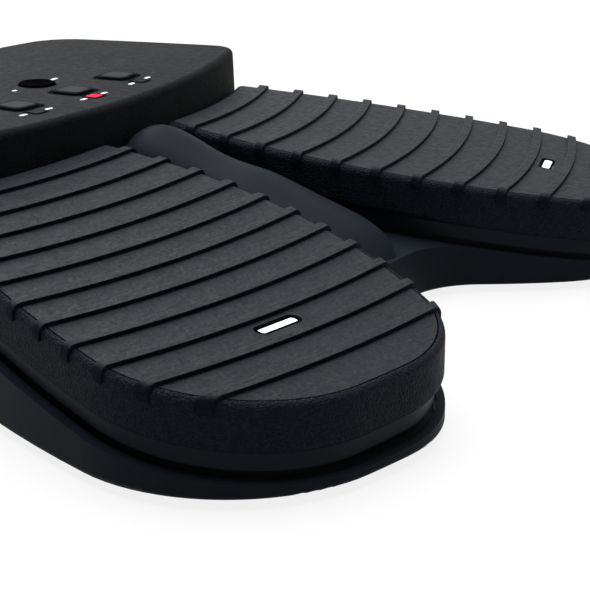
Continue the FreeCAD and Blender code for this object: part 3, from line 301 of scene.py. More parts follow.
@dataclass(frozen=True)
class Finish:
    """Look of one moulded or metal surface, with its grain and its uneven colour.

    Attributes:
        name: the material's name.
        colour: its mean colour, linear.
        roughness: its mean roughness.
        grain: the kind of its texture.
        grain_size: size of the texture's features.
        grain_depth: what a texture height of 1 stands for.
        mottling: how far the colour varies in patches, as a share of it.
        specular: strength of its reflection.
        metallic: 1 for metal and 0 for the rest.
        contrast: how far the specks vary in tone, as a share of it.
        speck_size: size of the specks.
    """

    name: str
    colour: Colour
    roughness: float
    grain: Grain
    grain_size: float = 0.5 * MM
    grain_depth: float = 0.04 * MM
    mottling: float = 0.12
    specular: float = 0.3
    metallic: float = 0.0
    contrast: float = 0.0
    speck_size: float = 0.55 * MM

    def height(self, nodes: Nodes) -> bpy.types.NodeSocket:
        """Height of the surface grain.

        Args:
            nodes: the tree being built.

        Returns:
            Height, about 0 to 1.
        """
        if self.grain is Grain.PEBBLE:
            return nodes.math("ADD", nodes.cells(self.grain_size), nodes.noise(self.grain_size, 3.0))
        if self.grain is Grain.LEATHER:
            creases = nodes.cells(self.grain_size, "DISTANCE_TO_EDGE")
            folds = nodes.span(creases, 0.0, CREASE_WIDTH, (0.0, 1.0))
            return nodes.math("ADD", folds, nodes.noise(self.grain_size / 2, 3.0))
        if self.grain is Grain.BRUSHED:
            return nodes.noise(self.grain_size, 3.0, ALONG_X)
        return nodes.noise(self.grain_size, 4.0)

    def specks(self, nodes: Nodes) -> bpy.types.NodeSocket:
        """Fine pale and dark specks of the grain.

        Args:
            nodes: the tree being built.

        Returns:
            A factor about 1.
        """
        speckle = nodes.noise(self.speck_size, 3.0)
        return nodes.span(speckle, *SPECK_RANGE, (1.0 - self.contrast, 1.0 + self.contrast))

    def tone(self, nodes: Nodes) -> bpy.types.NodeSocket:
        """Colour of the surface with its uneven patches and specks.

        Args:
            nodes: the tree being built.

        Returns:
            The colour.
        """
        dark = tuple(channel * (1.0 - self.mottling) for channel in self.colour)
        pale = tuple(min(1.0, channel * (1.0 + self.mottling)) for channel in self.colour)
        patches = nodes.math("MULTIPLY", nodes.noise(PATCH_SIZE, 3.0), nodes.noise(self.grain_size * 2, 2.0))
        even = nodes.mix(nodes.span(patches, *PATCH_RANGE, (0.0, 1.0)), dark, pale)
        return nodes.vector("MULTIPLY", even, self.specks(nodes)).outputs["Vector"]

    def shine(self, nodes: Nodes) -> bpy.types.NodeSocket:
        """Strength of the surface's reflection.

        Args:
            nodes: the tree being built.

        Returns:
            The specular level.
        """
        return nodes.math("MULTIPLY", self.specks(nodes), self.specular)

    def base_normal(self, nodes: Nodes) -> bpy.types.NodeSocket | None:
        """Normal that the grain bends, where it isn't the surface's own.

        Args:
            nodes: the tree being built.

        Returns:
            Nothing, for the surface's own normal.
        """
        return None

    def build(self) -> bpy.types.Material:
        """Make the material.

        Returns:
            The new material.
        """
        nodes = Nodes(self.name)
        height = self.height(nodes)
        worn = nodes.noise(self.grain_size * 2, 4.0)
        ends = (self.roughness - UNEVEN_ROUGHNESS, self.roughness + UNEVEN_ROUGHNESS)
        nodes.surface(
            Base_Color=self.tone(nodes),
            Roughness=nodes.span(worn, *NOISE_RANGE, ends),
            Metallic=self.metallic,
            Specular_IOR_Level=self.shine(nodes),
            Normal=nodes.bump(height, self.grain_depth, self.base_normal(nodes)),
        )
        return nodes.material


@dataclass(frozen=True)
class TreadFinish(Finish):
    """Pebbled rubber with softened edges on its ribs; its reflection, weaker on steep faces than on faces
    turned up, is painted shade on the rib flanks.
    """

    edge_radius: float = 0.35 * MM
    # Reflection left on steep faces, and the range of the normal's height over which it falls: painted shade
    # on the rib flanks.
    flank_shade_specular: float = 0.02
    flank_shade_range: tuple[float, float] = (0.55, 0.95)

    def shine(self, nodes: Nodes) -> bpy.types.NodeSocket:
        """Strength of the reflection, weaker on steep faces than on faces turned up: painted shade on the rib
        flanks.

        Args:
            nodes: the tree being built.

        Returns:
            The specular level.
        """
        parts = nodes.add("ShaderNodeSeparateXYZ")
        nodes.feed(parts, Vector=nodes.add("ShaderNodeNewGeometry").outputs["Normal"])
        # The reflection weakens as a face turns from up to steep: painted shade on the flanks, not a
        # difference in the rubber.
        level = nodes.span(parts.outputs["Z"], *self.flank_shade_range, (self.flank_shade_specular, self.specular))
        return nodes.math("MULTIPLY", self.specks(nodes), level)

    def base_normal(self, nodes: Nodes) -> bpy.types.NodeSocket | None:
        """Normal that rounds off the sharp edges.

        Args:
            nodes: the tree being built.

        Returns:
            The rounded normal.
        """
        edge = nodes.add("ShaderNodeBevel", samples=EDGE_SAMPLES)
        return nodes.feed(edge, Radius=self.edge_radius).outputs[0]


@dataclass(frozen=True)
class RimmedFinish(Finish):
    """Surface with a black rim along its outer edges."""

    rim_width: float = 1.1 * MM
    rim_colour: Colour = BLACK
    rim_specular: float = 0.002

    def build(self) -> bpy.types.Material:
        """Make the material.

        Returns:
            The new material.
        """
        nodes = Nodes(self.name)
        rim = nodes.rim(self.rim_width)
        nodes.surface(
            Base_Color=nodes.mix(rim, self.tone(nodes), self.rim_colour),
            Roughness=self.roughness,
            Specular_IOR_Level=nodes.span(rim, 0.0, 1.0, (self.specular, self.rim_specular)),
            Normal=nodes.bump(self.height(nodes), self.grain_depth),
        )
        return nodes.material


@dataclass(frozen=True)
class LensFinish:
    """Clear plastic lens, lit from behind or not."""

    name: str
    colour: Colour
    glow: float
    rim_width: float = 0.1 * MM
    cloud_size: float = 1.5 * MM
    cloud_shade: float = 0.85
    grain_size: float = 0.6 * MM
    grain_depth: float = 0.01 * MM
    roughness: float = 0.5
    specular: float = 0.004

    def build(self) -> bpy.types.Material:
        """Make the material.

        Returns:
            The new material.
        """
        nodes = Nodes(self.name)
        cloud = nodes.span(nodes.noise(self.cloud_size), *NOISE_RANGE, (0.0, 1.0))
        shade = tuple(channel * self.cloud_shade for channel in self.colour)
        tint = nodes.mix(nodes.rim(self.rim_width), nodes.mix(cloud, shade, self.colour), BLACK)
        nodes.surface(
            Base_Color=tint,
            Roughness=self.roughness,
            Specular_IOR_Level=self.specular,
            Emission_Color=tint,
            Emission_Strength=self.glow,
            Normal=nodes.bump(nodes.noise(self.grain_size), self.grain_depth),
        )
        return nodes.material


@dataclass(frozen=True)
class BoardFinish:
    """Circuit board with its tracks under a green mask."""

    name: str
    mask: Colour = (0.01, 0.07, 0.03)
    track: Colour = (0.02, 0.12, 0.05)
    track_size: float = 1.6 * MM
    track_share: float = 0.12
    grain_size: float = 0.8 * MM
    grain_depth: float = 0.01 * MM
    roughness: float = 0.35
    specular: float = 0.4

    def build(self) -> bpy.types.Material:
        """Make the material.

        Returns:
            The new material.
        """
        nodes = Nodes(self.name)
        node = nodes.add("ShaderNodeTexBrick")
        nodes.feed(node, Vector=nodes.coordinates, Scale=1.0 / self.track_size, Mortar_Size=self.track_share)
        nodes.feed(node, Color1=(*self.mask, 1.0), Color2=(*self.mask, 1.0), Mortar=(*self.track, 1.0))
        nodes.surface(
            Base_Color=node.outputs["Color"],
            Roughness=self.roughness,
            Specular_IOR_Level=self.specular,
            Normal=nodes.bump(nodes.noise(self.grain_size), self.grain_depth),
        )
        return nodes.material


@dataclass(frozen=True)
class SleeveFinish:
    """Plain printed sleeve of a round cell, with a paler band at both ends."""

    name: str
    body: Colour = (0.03, 0.035, 0.045)
    band: Colour = (0.45, 0.3, 0.12)
    band_from: float = 12 * MM
    band_blur: float = 0.2 * MM
    grain_size: float = 2 * MM
    grain_depth: float = 0.01 * MM
    roughness: float = 0.3
    metallic: float = 0.3

    def build(self) -> bpy.types.Material:
        """Make the material.

        Returns:
            The new material.
        """
        nodes = Nodes(self.name)
        across = nodes.add("ShaderNodeSeparateXYZ")
        nodes.feed(across, Vector=nodes.coordinates)
        distance = nodes.math("ABSOLUTE", across.outputs["X"])
        share = nodes.span(distance, self.band_from, self.band_from + self.band_blur, (0.0, 1.0))
        nodes.surface(
            Base_Color=nodes.mix(share, self.body, self.band),
            Roughness=self.roughness,
            Metallic=self.metallic,
            Normal=nodes.bump(nodes.noise(self.grain_size), self.grain_depth),
        )
        return nodes.material


class Look(Enum):
    """Every finish of the object."""

    COVER = Finish(
        "grained_cover", (0.0060, 0.0068, 0.0076), 0.8, Grain.PEBBLE, 0.8 * MM, 0.08 * MM, 0.25, 0.057,
        contrast=0.15,
    )
    HOUSING = Finish(
        "satin_housing", (0.0080, 0.0101, 0.0138), 0.5, Grain.SPARK, 0.25 * MM, 0.004 * MM, 0.1, 0.024,
        contrast=0.06,
    )
    SHELL = Finish(
        "leather_grain_shell", (0.0062, 0.0085, 0.0126), 0.5, Grain.LEATHER, 0.8 * MM, 0.14 * MM, 0.1, 0.03,
        contrast=0.18,
    )
    TREAD = TreadFinish(
        "ribbed_tread", (0.0044, 0.0060, 0.0092), 0.62, Grain.PEBBLE, 1.1 * MM, 0.15 * MM, 0.08, 0.095,
        contrast=0.2,
    )
    BAND = Finish("satin_band", (0.0064, 0.0090, 0.0128), 0.35, Grain.SPARK, 0.3 * MM, 0.003 * MM, 0.1, 0.05)
    PLATE = Finish("matte_plate", (0.012, 0.012, 0.013), 0.6, Grain.SPARK, 0.4 * MM, 0.03 * MM, 0.15, 0.15)
    KEY = RimmedFinish("grey_key", (0.010, 0.011, 0.012), 0.7, Grain.SPARK, 0.3 * MM, 0.008 * MM, 0.1, 0.06)
    ROUND_KEY = Finish(
        "black_key", (0.0012, 0.0012, 0.0016), 0.9, Grain.SPARK, 0.3 * MM, 0.005 * MM, 0.1, 0.001
    )
    SURROUND = Finish("black_surround", BLACK, 0.9, Grain.SPARK, 0.3 * MM, 0.004 * MM, 0.1, 0.005)
    INK = Finish("white_ink", (0.82, 0.83, 0.84), 0.6, Grain.SPARK, 0.2 * MM, 0.002 * MM, 0.03, 0.2)
    RUBBER = Finish("black_rubber", (0.014, 0.014, 0.015), 0.8, Grain.SPARK, 0.5 * MM, 0.03 * MM, 0.15, 0.2)
    STEEL = Finish(
        "plain_steel", (0.42, 0.42, 0.43), 0.35, Grain.BRUSHED, 0.2 * MM, 0.005 * MM, 0.08, 0.5, 1.0
    )
    SPRING = Finish("spring_steel", (0.3, 0.3, 0.31), 0.3, Grain.BRUSHED, 0.2 * MM, 0.004 * MM, 0.1, 0.5, 1.0)
    SCREW = Finish(
        "black_screw", (0.12, 0.12, 0.125), 0.4, Grain.BRUSHED, 0.3 * MM, 0.005 * MM, 0.1, 0.5, 1.0
    )
    TIN = Finish("tinned_sheet", (0.55, 0.55, 0.54), 0.3, Grain.BRUSHED, 0.3 * MM, 0.004 * MM, 0.08, 0.5, 1.0)
    MAGNET = Finish("nickel", (0.5, 0.49, 0.46), 0.2, Grain.SPARK, 0.5 * MM, 0.002 * MM, 0.05, 0.5, 1.0)
    GOLD = Finish("gold_flash", (0.6, 0.42, 0.15), 0.3, Grain.SPARK, 0.2 * MM, 0.002 * MM, 0.05, 0.5, 1.0)
    INNER = Finish("black_moulding", (0.012, 0.012, 0.013), 0.6, Grain.SPARK, 0.4 * MM, 0.02 * MM, 0.1, 0.3)
    BAR = LensFinish("lit_bar", (0.95, 0.96, 1.0), 0.75)
    LIT = LensFinish("lit_pink_window", (0.8, 0.016, 0.07), 0.68, 0.45 * MM)
    DULL = LensFinish("unlit_window", (0.016, 0.014, 0.02), 0.0, 0.45 * MM)
    CHIP = LensFinish("lamp_chip", (0.75, 0.7, 0.5), 0.0)
    BOARD = BoardFinish("green_board")
    SLEEVE = SleeveFinish("cell_sleeve")


class Paintbox:
    """Makes each finish once and puts it on pieces."""

    def __init__(self) -> None:
        """Start with no finish made."""
        self.made: dict[Look, bpy.types.Material] = {}

    def get(self, look: Look) -> bpy.types.Material:
        """Give a finish's material.

        Args:
            look: the finish.

        Returns:
            The material, made on first use.
        """
        if look not in self.made:
            self.made[look] = look.value.build()
        return self.made[look]

    def dress(self, piece: bpy.types.Object, look: Look) -> None:
        """Put one finish on the whole of a piece.

        Args:
            piece: a solid of the frame or a new piece.
            look: its finish.
        """
        if not piece.material_slots:
            piece.data.materials.append(self.get(look))
        for place in piece.material_slots:
            place.material = self.get(look)


class Trim:
    """Helpers that every class with new pieces shares."""

    def __init__(self, paint: Paintbox) -> None:
        """Keep the finishes.

        Args:
            paint: where the finishes come from.
        """
        self.paint = paint

    def finish(
        self, mesh: bmesh.types.BMesh, name: str, body: str, look: Look, slot: str
    ) -> bpy.types.Object:
        """Turn a bmesh into a dressed piece that rides on a body.

        Args:
            mesh: the piece's shape in its final place.
            name: the piece's name.
            body: the body that it rides on.
            look: its finish.
            slot: not used.

        Returns:
            The new object.
        """
        bmesh.ops.remove_doubles(mesh, verts=mesh.verts, dist=1e-6)
        bmesh.ops.recalc_face_normals(mesh, faces=mesh.faces)
        data = bpy.data.meshes.new(name)
        mesh.to_mesh(data)
        mesh.free()
        piece = bpy.data.objects.new(name, data)
        bpy.context.scene.collection.objects.link(piece)
        self.paint.dress(piece, look)
        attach(piece, body)
        LOG.info("made %s with %d faces", name, len(data.polygons))
        return piece

    def plate(
        self,
        mesh: bmesh.types.BMesh,
        place: Matrix,
        size: tuple[float, float],
        corner: float,
        thick: float,
        wall: float = 0.0,
    ) -> None:
        """Add a flat plate with round corners, or a frame of that outline.

        Args:
            mesh: where it is added.
            place: the middle of its underside and its turn.
            size: its length and width.
            corner: radius of its corners.
            thick: its thickness.
            wall: width of the frame, or nothing for a full plate.
        """
        verts = bmesh.ops.create_grid(mesh, x_segments=1, y_segments=1, size=0.5)["verts"]
        bmesh.ops.scale(mesh, vec=(size[0], size[1], 1.0), verts=verts)
        rounded = bmesh.ops.bevel(
            mesh,
            geom=verts,
            offset=corner,
            segments=CORNER_STEPS,
            profile=0.5,
            affect="VERTICES",
            material=-1,
        )
        faces = list({face for vert in rounded["verts"] for face in vert.link_faces})
        if wall:
            bmesh.ops.inset_individual(mesh, faces=faces, thickness=wall, use_even_offset=True)
            bmesh.ops.delete(mesh, geom=faces, context="FACES")
            faces = list({face for vert in rounded["verts"] if vert.is_valid for face in vert.link_faces})
        raised = bmesh.ops.extrude_face_region(mesh, geom=faces, use_keep_orig=True)["geom"]
        tops = [item for item in raised if isinstance(item, bmesh.types.BMVert)]
        bmesh.ops.translate(mesh, vec=(0.0, 0.0, thick), verts=tops)
        bottoms = {vert for face in faces if face.is_valid for vert in face.verts}
        bmesh.ops.transform(mesh, matrix=place, verts=list(bottoms | set(tops)))


@dataclass(frozen=True)
class Dash:
    """A plain printed dash: its place on an arc about the common centre line, and its length."""

    radius: float
    degrees: float
    length: float = 2.3 * MM


@dataclass
class ControlPod:
    """Trim of the pod's top: printed dashes and the black surrounds of keys and windows."""

    trim: Trim
    key_radius: float = 189.3 * MM
    key_angles: tuple[float, ...] = (-6.4, 0.0, 6.4)
    window_angles: tuple[float, ...] = (-7.05, -0.75, 5.55)
    key_opening: float = 8.5 * MM
    key_frame: float = 0.9 * MM
    window_radius: float = 197.2 * MM
    window_opening: float = 3.8 * MM
    window_frame: float = 0.55 * MM
    round_radius: float = 176.3 * MM
    round_marks: tuple[tuple[float, float], ...] = ((3.5, 2.8 * MM), (-2.0, 1.4 * MM))
    key_corner: float = 2.2 * MM
    window_corner: float = 0.9 * MM
    dash_corner: float = 0.45 * MM
    dash_width: float = 1.0 * MM
    ink: float = 0.05 * MM
    frame_height: float = 0.06 * MM
    dash_side: float = 4.3 * MM

    def on_arc(self, radius: float, degrees: float) -> Matrix:
        """Place on the pod's top, turned with the arc.

        Args:
            radius: distance from the common centre line.
            degrees: angle from straight ahead.

        Returns:
            The place and its turn.
        """
        turn = Matrix.Rotation(math.radians(degrees), 4, "Z")
        spot = ARC_CENTRE + turn @ Vector((0.0, -radius, 0.0))
        return Matrix.Translation((spot.x, spot.y, POD_TOP)) @ turn

    def dashes(self) -> list[Dash]:
        """Work out where the dashes go.

        Returns:
            Those on both sides of each window, and the two beside the round key.
        """
        marks = []
        for angle in self.window_angles:
            side = math.degrees(self.dash_side / self.window_radius)
            marks += [Dash(self.window_radius, angle - side), Dash(self.window_radius, angle + side)]
        return marks + [Dash(self.round_radius, angle, length) for angle, length in self.round_marks]

    def build(self) -> None:
        """Make the dashes and surrounds."""
        ink = bmesh.new()
        for dash in self.dashes():
            place = self.on_arc(dash.radius, dash.degrees)
            self.trim.plate(ink, place, (dash.length, self.dash_width), self.dash_corner, self.ink)
        self.trim.finish(ink, "printed_dashes", "base", Look.INK, "light_bar")
        frames = bmesh.new()
        outer = self.key_opening + 2 * self.key_frame
        for angle in self.key_angles:
            place = self.on_arc(self.key_radius, angle)
            self.trim.plate(frames, place, (outer, outer), self.key_corner, self.frame_height, self.key_frame)
        outer, height = self.window_opening + 2 * self.window_frame, self.frame_height / 2
        for angle in self.window_angles:
            place = self.on_arc(self.window_radius, angle)
            self.trim.plate(frames, place, (outer, outer), self.window_corner, height, self.window_frame)
        self.trim.finish(frames, "key_surrounds", "base", Look.SURROUND, "cover")


@dataclass
class BarSlotShades:
    """Black frames round the upper edge of both light bars: painted shade of the slot that each recessed bar
    sits in.
    """

    trim: Trim
    middle: tuple[float, float] = (73.3 * MM, -285.75 * MM)
    rear_radius: float = 207.3 * MM
    top_at_rear: float = 35.95 * MM
    tilt: float = 8.79
    turn: float = 23.15
    sink: float = 0.3 * MM
    bar: tuple[float, float] = (10.6 * MM, 2.6 * MM)
    reach: float = 0.36 * MM
    wall: float = 0.64 * MM
    corner: float = 1.3 * MM
    height: float = 0.25 * MM

    def place(self, side: int) -> Matrix:
        """Place on a bar's top, square to the radius through it and level with the pedal's slope.

        Args:
            side: 1 for the right pedal and -1 for the left.

        Returns:
            The place and its turn.
        """
        turn, slope = math.radians(self.turn), math.tan(math.radians(self.tilt))
        ahead = Vector((side * math.sin(turn), -math.cos(turn), 0.0))
        spot = Vector((side * self.middle[0], self.middle[1], 0.0))
        across = Vector((-spot.y, spot.x, 0.0)).normalized()
        across.z = -slope * across.dot(ahead)
        across.normalize()
        up = Vector((slope * ahead.x, slope * ahead.y, 1.0)).normalized()
        height = self.top_at_rear - slope * (spot.dot(ahead) - self.rear_radius) - self.sink
        turned = Matrix((across, up.cross(across), up)).transposed().to_4x4()
        return Matrix.Translation((spot.x, spot.y + ARC_CENTRE.y, height)) @ turned

    def build(self) -> None:
        """Make both black frames of painted slot shade."""
        size = (self.bar[0] + 2 * self.reach, self.bar[1] + 2 * self.reach)
        for name, side in (("right", 1), ("left", -1)):
            mesh = bmesh.new()
            # Each black frame stands in for the shaded slot round a recessed bar: painted shade.
            self.trim.plate(mesh, self.place(side), size, self.corner, self.height, self.wall)
            self.trim.finish(mesh, name + "_bar_slot_shade", name + "_pedal", Look.SURROUND, "tread")


@dataclass
class CellDoor:
    """Raised grip ridges on the cell door."""

    trim: Trim
    rows: tuple[float, ...] = (73.5 * MM, 76.0 * MM, 78.5 * MM)
    face: float = 2.0 * MM
    proud: float = 0.3 * MM
    size: tuple[float, float] = (14.0 * MM, 1.1 * MM)
    corner: float = 0.5 * MM

    def build(self) -> None:
        """Make the ridges."""
        mesh = bmesh.new()
        for row in self.rows:
            place = Matrix.Translation((0.0, row, self.face - self.proud))
            self.trim.plate(mesh, place, self.size, self.corner, self.proud)
        self.trim.finish(mesh, "door_ridges", "cell_cover", Look.PLATE, "plate")


@dataclass
class Electronics:
    """Small parts on the main board and contact strips in the charging socket."""

    trim: Trim
    board_top: float = 23.9 * MM
    chips: tuple[tuple[float, float, float, float], ...] = (
        (6.0, 72.0, 7.0, 7.0),
        (20.0, 66.0, 4.0, 3.0),
        (28.0, 78.0, 5.0, 5.0),
        (-8.0, 80.0, 3.0, 1.6),
        (-8.0, 76.0, 3.0, 1.6),
        (16.0, 80.0, 2.0, 1.2),
        (16.0, 77.0, 2.0, 1.2),
        (34.0, 68.0, 2.0, 1.2),
    )
    chip_height: float = 1.0 * MM
    strips: tuple[float, ...] = (-1.4, -0.7, 0.0, 0.7, 1.4)
    strip_size: tuple[float, float] = (0.35 * MM, 3.0 * MM)
    strip_middle: float = 90.6 * MM
    tongue_top: float = 25.85 * MM
    strip_height: float = 0.05 * MM
    chip_corner: float = 0.15 * MM
    strip_corner: float = 0.1 * MM

    def build(self) -> None:
        """Make the parts and the strips."""
        mesh = bmesh.new()
        for x, y, length, width in self.chips:
            place = Matrix.Translation((x * MM, y * MM, self.board_top))
            self.trim.plate(mesh, place, (length * MM, width * MM), self.chip_corner, self.chip_height)
        self.trim.finish(mesh, "board_parts", "base", Look.INNER, "switch")
        mesh = bmesh.new()
        for x in self.strips:
            place = Matrix.Translation((x * MM, self.strip_middle, self.tongue_top))
            self.trim.plate(mesh, place, self.strip_size, self.strip_corner, self.strip_height)
        self.trim.finish(mesh, "socket_strips", "base", Look.GOLD, "screen_can")


@dataclass
class Underside:
    """Screws of the underside."""

    trim: Trim
    screw_places: tuple[tuple[float, float], ...] = ((62.0, -160.0), (49.0, -146.0))
    front_screw: tuple[float, float] = (0.0, -248.0)
    head_low: float = 3.2 * MM
    head_radius: float = 2.5 * MM
    head_height: float = 1.4 * MM
    shank_radius: float = 1.2 * MM
    shank_length: float = 9.0 * MM
    shank_taper: float = 0.8
    shank_sides: int = 20
    recess_depth: float = 0.8 * MM
    recess_half: float = 0.32 * MM
    recess_reach: float = 1.35 * MM
    recess_taper: float = 0.7
    edge_height: float = 0.3 * MM
    grid: int = 12

    def spots(self, pairs: tuple[tuple[float, float], ...], middle: tuple[float, float]) -> list[Vector]:
        """Places in plan on both sides and one in the middle.

        Args:
            pairs: places on the right, in millimetres about the common centre line.
            middle: the place on the middle line.

        Returns:
            All the places.
        """
        right = [Vector((x * MM * side, y * MM, 0.0)) for x, y in pairs for side in (-1, 1)]
        return [spot + ARC_CENTRE for spot in right + [Vector((middle[0] * MM, middle[1] * MM, 0.0))]]

    def recess(self, mesh: bmesh.types.BMesh) -> None:
        """Add a flat disc with a cross recess that narrows inwards.

        Args:
            mesh: where it is added, about the origin.
        """
        made = bmesh.ops.create_grid(mesh, x_segments=self.grid, y_segments=self.grid, size=1.0)["verts"]
        for vert in made:
            x, y = vert.co.x, vert.co.y
            on_disc = Vector((x * math.sqrt(1 - y * y / 2), y * math.sqrt(1 - x * x / 2), 0.0))
            vert.co = on_disc * self.head_radius
        slot = []
        for face in dict.fromkeys(face for vert in made for face in vert.link_faces):
            middle = face.calc_center_median()
            near, far = sorted((abs(middle.x), abs(middle.y)))
            if near < self.recess_half and far < self.recess_reach:
                slot.append(face)
        sunk = bmesh.ops.extrude_face_region(mesh, geom=slot)["geom"]
        floor = [item for item in sunk if isinstance(item, bmesh.types.BMVert)]
        bmesh.ops.delete(mesh, geom=[face for face in slot if face.is_valid], context="FACES_ONLY")
        bmesh.ops.translate(mesh, vec=(0, 0, self.recess_depth), verts=floor)
        bmesh.ops.scale(mesh, vec=(self.recess_taper, self.recess_taper, 1.0), verts=floor)

    def screw(self, mesh: bmesh.types.BMesh, spot: Vector) -> None:
        """Add one pan-head screw. A tag marks the vertices of those that are in place.

        Args:
            mesh: where it is added.
            spot: its place in plan.
        """
        self.recess(mesh)
        rim = [edge for edge in mesh.edges if edge.is_boundary and not edge.verts[0].tag]
        for rise in (self.edge_height, self.head_height - self.edge_height):
            side = bmesh.ops.extrude_edge_only(mesh, edges=rim)["geom"]
            ring = [item for item in side if isinstance(item, bmesh.types.BMVert)]
            bmesh.ops.translate(mesh, vec=(0, 0, rise), verts=ring)
            rim = [item for item in side if isinstance(item, bmesh.types.BMEdge) and item.is_boundary]
        bmesh.ops.contextual_create(mesh, geom=rim)
        bmesh.ops.create_cone(
            mesh,
            cap_ends=True,
            segments=self.shank_sides,
            radius1=self.shank_radius,
            radius2=self.shank_radius * self.shank_taper,
            depth=self.shank_length,
            matrix=Matrix.Translation((0, 0, self.head_height + self.shank_length / 2)),
        )
        fresh = [vert for vert in mesh.verts if not vert.tag]
        lowest = Vector((spot.x, spot.y, self.head_low - self.head_height))
        bmesh.ops.translate(mesh, vec=lowest, verts=fresh)
        for vert in fresh:
            vert.tag = True

    def build(self) -> None:
        """Make the screws."""
        screws = bmesh.new()
        for spot in self.spots(self.screw_places, self.front_screw):
            self.screw(screws, spot)
        piece = self.trim.finish(screws, "cross_head_screws", "base", Look.SCREW, "screw")
        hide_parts("housing_screws")


@dataclass
class Dressing:
    """Finish of every solid of the frame."""

    paint: Paintbox
    nodes: dict[str, bpy.types.Object]

    def plan(self) -> dict[str, Look]:
        """Choose the finishes.

        Returns:
            Which finish each solid gets, by the solid's name.
        """
        looks = {
            "base_housing": Look.HOUSING,
            "bottom_plate": Look.PLATE,
            "pod_cover": Look.COVER,
            "left_key": Look.KEY,
            "centre_key": Look.KEY,
            "right_key": Look.KEY,
            "round_key": Look.ROUND_KEY,
            "centre_window": Look.LIT,
            "side_windows": Look.DULL,
            "control_board": Look.BOARD,
            "key_switches": Look.INNER,
            "indicator_chips": Look.CHIP,
            "main_board": Look.BOARD,
            "radio_module": Look.TIN,
            "usb_socket": Look.TIN,
            "cell_holder": Look.INNER,
            "cells": Look.SLEEVE,
            "cell_contacts": Look.SPRING,
            "cell_door": Look.PLATE,
            "feet": Look.RUBBER,
            "housing_screws": Look.SCREW,
            "short_screws": Look.SCREW,
        }
        for key in ("round", "left", "centre", "right"):
            looks[key + "_plunger"] = Look.INNER
        sided = {
            "pedal_shell": Look.SHELL,
            "pedal_tread": Look.TREAD,
            "pedal_frame": Look.BAND,
            "light_bar": Look.BAR,
            "light_board": Look.BOARD,
            "light_board_screws": Look.SCREW,
            "magnet": Look.MAGNET,
            "hinge_bracket": Look.STEEL,
            "hinge_pin": Look.STEEL,
            "rest_pads": Look.RUBBER,
            "return_spring": Look.SPRING,
            "bumper": Look.RUBBER,
            "pedal_sensor": Look.BOARD,
        }
        for side in ("left_", "right_"):
            looks |= {side + name: look for name, look in sided.items()}
        return looks

    def build(self) -> None:
        """Dress every solid."""
        for name, look in self.plan().items():
            self.paint.dress(self.nodes[name], look)
            LOG.info("dressed %s in %s", name, look.name.lower())


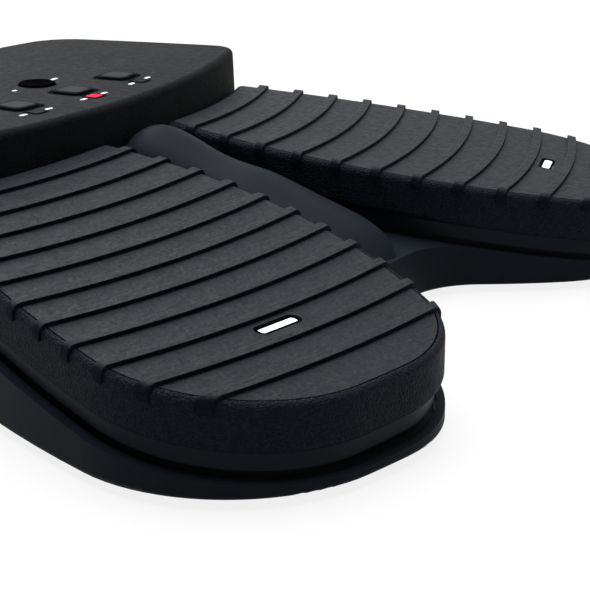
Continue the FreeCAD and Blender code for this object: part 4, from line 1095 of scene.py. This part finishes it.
@dataclass
class Studio:
    """Pale floor, soft lamps and the camera at the photograph's angle."""

    floor_size: float = 8.0
    floor_gap: float = 0.05 * MM
    floor_tone: float = 0.7
    sensor: float = 36.0
    camera_place: tuple[float, float, float] = (-0.3518, -0.2162, 0.1305)
    azimuth: float = 62.12
    elevation: float = 17.82
    lens: float = 107.63
    top_place: tuple[float, float, float] = (0.1, 0.15, 1.0)
    top_size: float = 1.0
    top_power: float = 22.0
    rear_place: tuple[float, float, float] = (0.7, 0.9, 0.6)
    rear_size: float = 0.7
    rear_power: float = 6.0
    room_light: float = 0.1
    floor_glow: float = 0.85

    def seen(self, tree: bpy.types.NodeTree) -> bpy.types.NodeSocket:
        """Add the test for rays by which the surroundings are seen, straight or in a shine.

        Args:
            tree: the tree that needs it.

        Returns:
            1 for such a ray and 0 for one that only lights.
        """
        path = tree.nodes.new("ShaderNodeLightPath")
        total = path.outputs["Is Camera Ray"]
        for kind in ("Is Glossy Ray", "Is Transmission Ray"):
            most = tree.nodes.new("ShaderNodeMath")
            most.operation = "MAXIMUM"
            tree.links.new(total, most.inputs[0])
            tree.links.new(path.outputs[kind], most.inputs[1])
            total = most.outputs[0]
        return total

    def backdrop(self) -> None:
        """Light the surroundings and show them white."""
        world = bpy.data.worlds.new("studio")
        bpy.context.scene.world = world
        world.use_nodes = True
        tree = world.node_tree
        tree.nodes.clear()
        output = tree.nodes.new("ShaderNodeOutputWorld")
        dim, white = tree.nodes.new("ShaderNodeBackground"), tree.nodes.new("ShaderNodeBackground")
        for shader, strength in ((dim, self.room_light), (white, 1.0)):
            shader.inputs["Color"].default_value = (*WHITE, 1.0)
            shader.inputs["Strength"].default_value = strength
        mix = tree.nodes.new("ShaderNodeMixShader")
        tree.links.new(self.seen(tree), mix.inputs[0])
        tree.links.new(dim.outputs[0], mix.inputs[1])
        tree.links.new(white.outputs[0], mix.inputs[2])
        tree.links.new(mix.outputs[0], output.inputs[0])

    def floor(self) -> None:
        """Lay the pale floor."""
        mesh = bmesh.new()
        place = Matrix.Translation((0.0, 0.0, -self.floor_gap))
        bmesh.ops.create_grid(mesh, x_segments=1, y_segments=1, size=self.floor_size / 2, matrix=place)
        data = bpy.data.meshes.new("floor")
        mesh.to_mesh(data)
        mesh.free()
        floor = bpy.data.objects.new("floor", data)
        bpy.context.scene.collection.objects.link(floor)
        nodes = Nodes("pale_floor")
        matt = nodes.feed(nodes.add("ShaderNodeBsdfDiffuse"), Color=(self.floor_tone,) * 3 + (1.0,))
        glow = nodes.feed(nodes.add("ShaderNodeEmission"), Color=(*WHITE, 1.0), Strength=1.0)
        share = nodes.math("MULTIPLY", self.seen(nodes.tree), self.floor_glow)
        mix = nodes.add("ShaderNodeMixShader")
        nodes.tree.links.new(share, mix.inputs[0])
        nodes.tree.links.new(matt.outputs[0], mix.inputs[1])
        nodes.tree.links.new(glow.outputs[0], mix.inputs[2])
        nodes.tree.links.new(mix.outputs[0], nodes.output.inputs["Surface"])
        data.materials.append(nodes.material)

    def lamp(self, name: str, place: tuple[float, float, float], size: float, power: float) -> None:
        """Hang a soft lamp that points at the object.

        Args:
            name: the lamp's name.
            place: where it hangs.
            size: side of its square.
            power: its power in watts.
        """
        data = bpy.data.lights.new(name, "AREA")
        data.size = size
        data.energy = power
        lamp = bpy.data.objects.new(name, data)
        lamp.location = place
        lamp.rotation_euler = (-Vector(place)).to_track_quat("-Z", "Y").to_euler()
        bpy.context.scene.collection.objects.link(lamp)

    def camera(self) -> None:
        """Set the camera at the photograph's angle."""
        data = bpy.data.cameras.new("photo_camera")
        data.lens = self.lens
        data.sensor_width = self.sensor
        camera = bpy.data.objects.new("photo_camera", data)
        turn, dip = math.radians(self.azimuth), math.radians(self.elevation)
        look = Vector((math.sin(turn) * math.cos(dip), math.cos(turn) * math.cos(dip), -math.sin(dip)))
        camera.location = self.camera_place
        camera.rotation_euler = look.to_track_quat("-Z", "Y").to_euler()
        bpy.context.scene.collection.objects.link(camera)
        bpy.context.scene.camera = camera

    def build(self) -> None:
        """Set up the studio."""
        bpy.context.scene.view_settings.view_transform = "Standard"
        self.backdrop()
        self.floor()
        self.lamp("top_softbox", self.top_place, self.top_size, self.top_power)
        self.lamp("rear_softbox", self.rear_place, self.rear_size, self.rear_power)
        self.camera()


def main() -> None:
    """Dress the frame, add the trim and set up the studio."""
    logging.basicConfig(level=logging.INFO)
    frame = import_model()
    paint = Paintbox()
    trim = Trim(paint)
    Dressing(paint, frame["nodes"]).build()
    ControlPod(trim).build()
    BarSlotShades(trim).build()
    CellDoor(trim).build()
    Electronics(trim).build()
    Underside(trim).build()
    Studio().build()


if __name__ == "__main__":
    main()
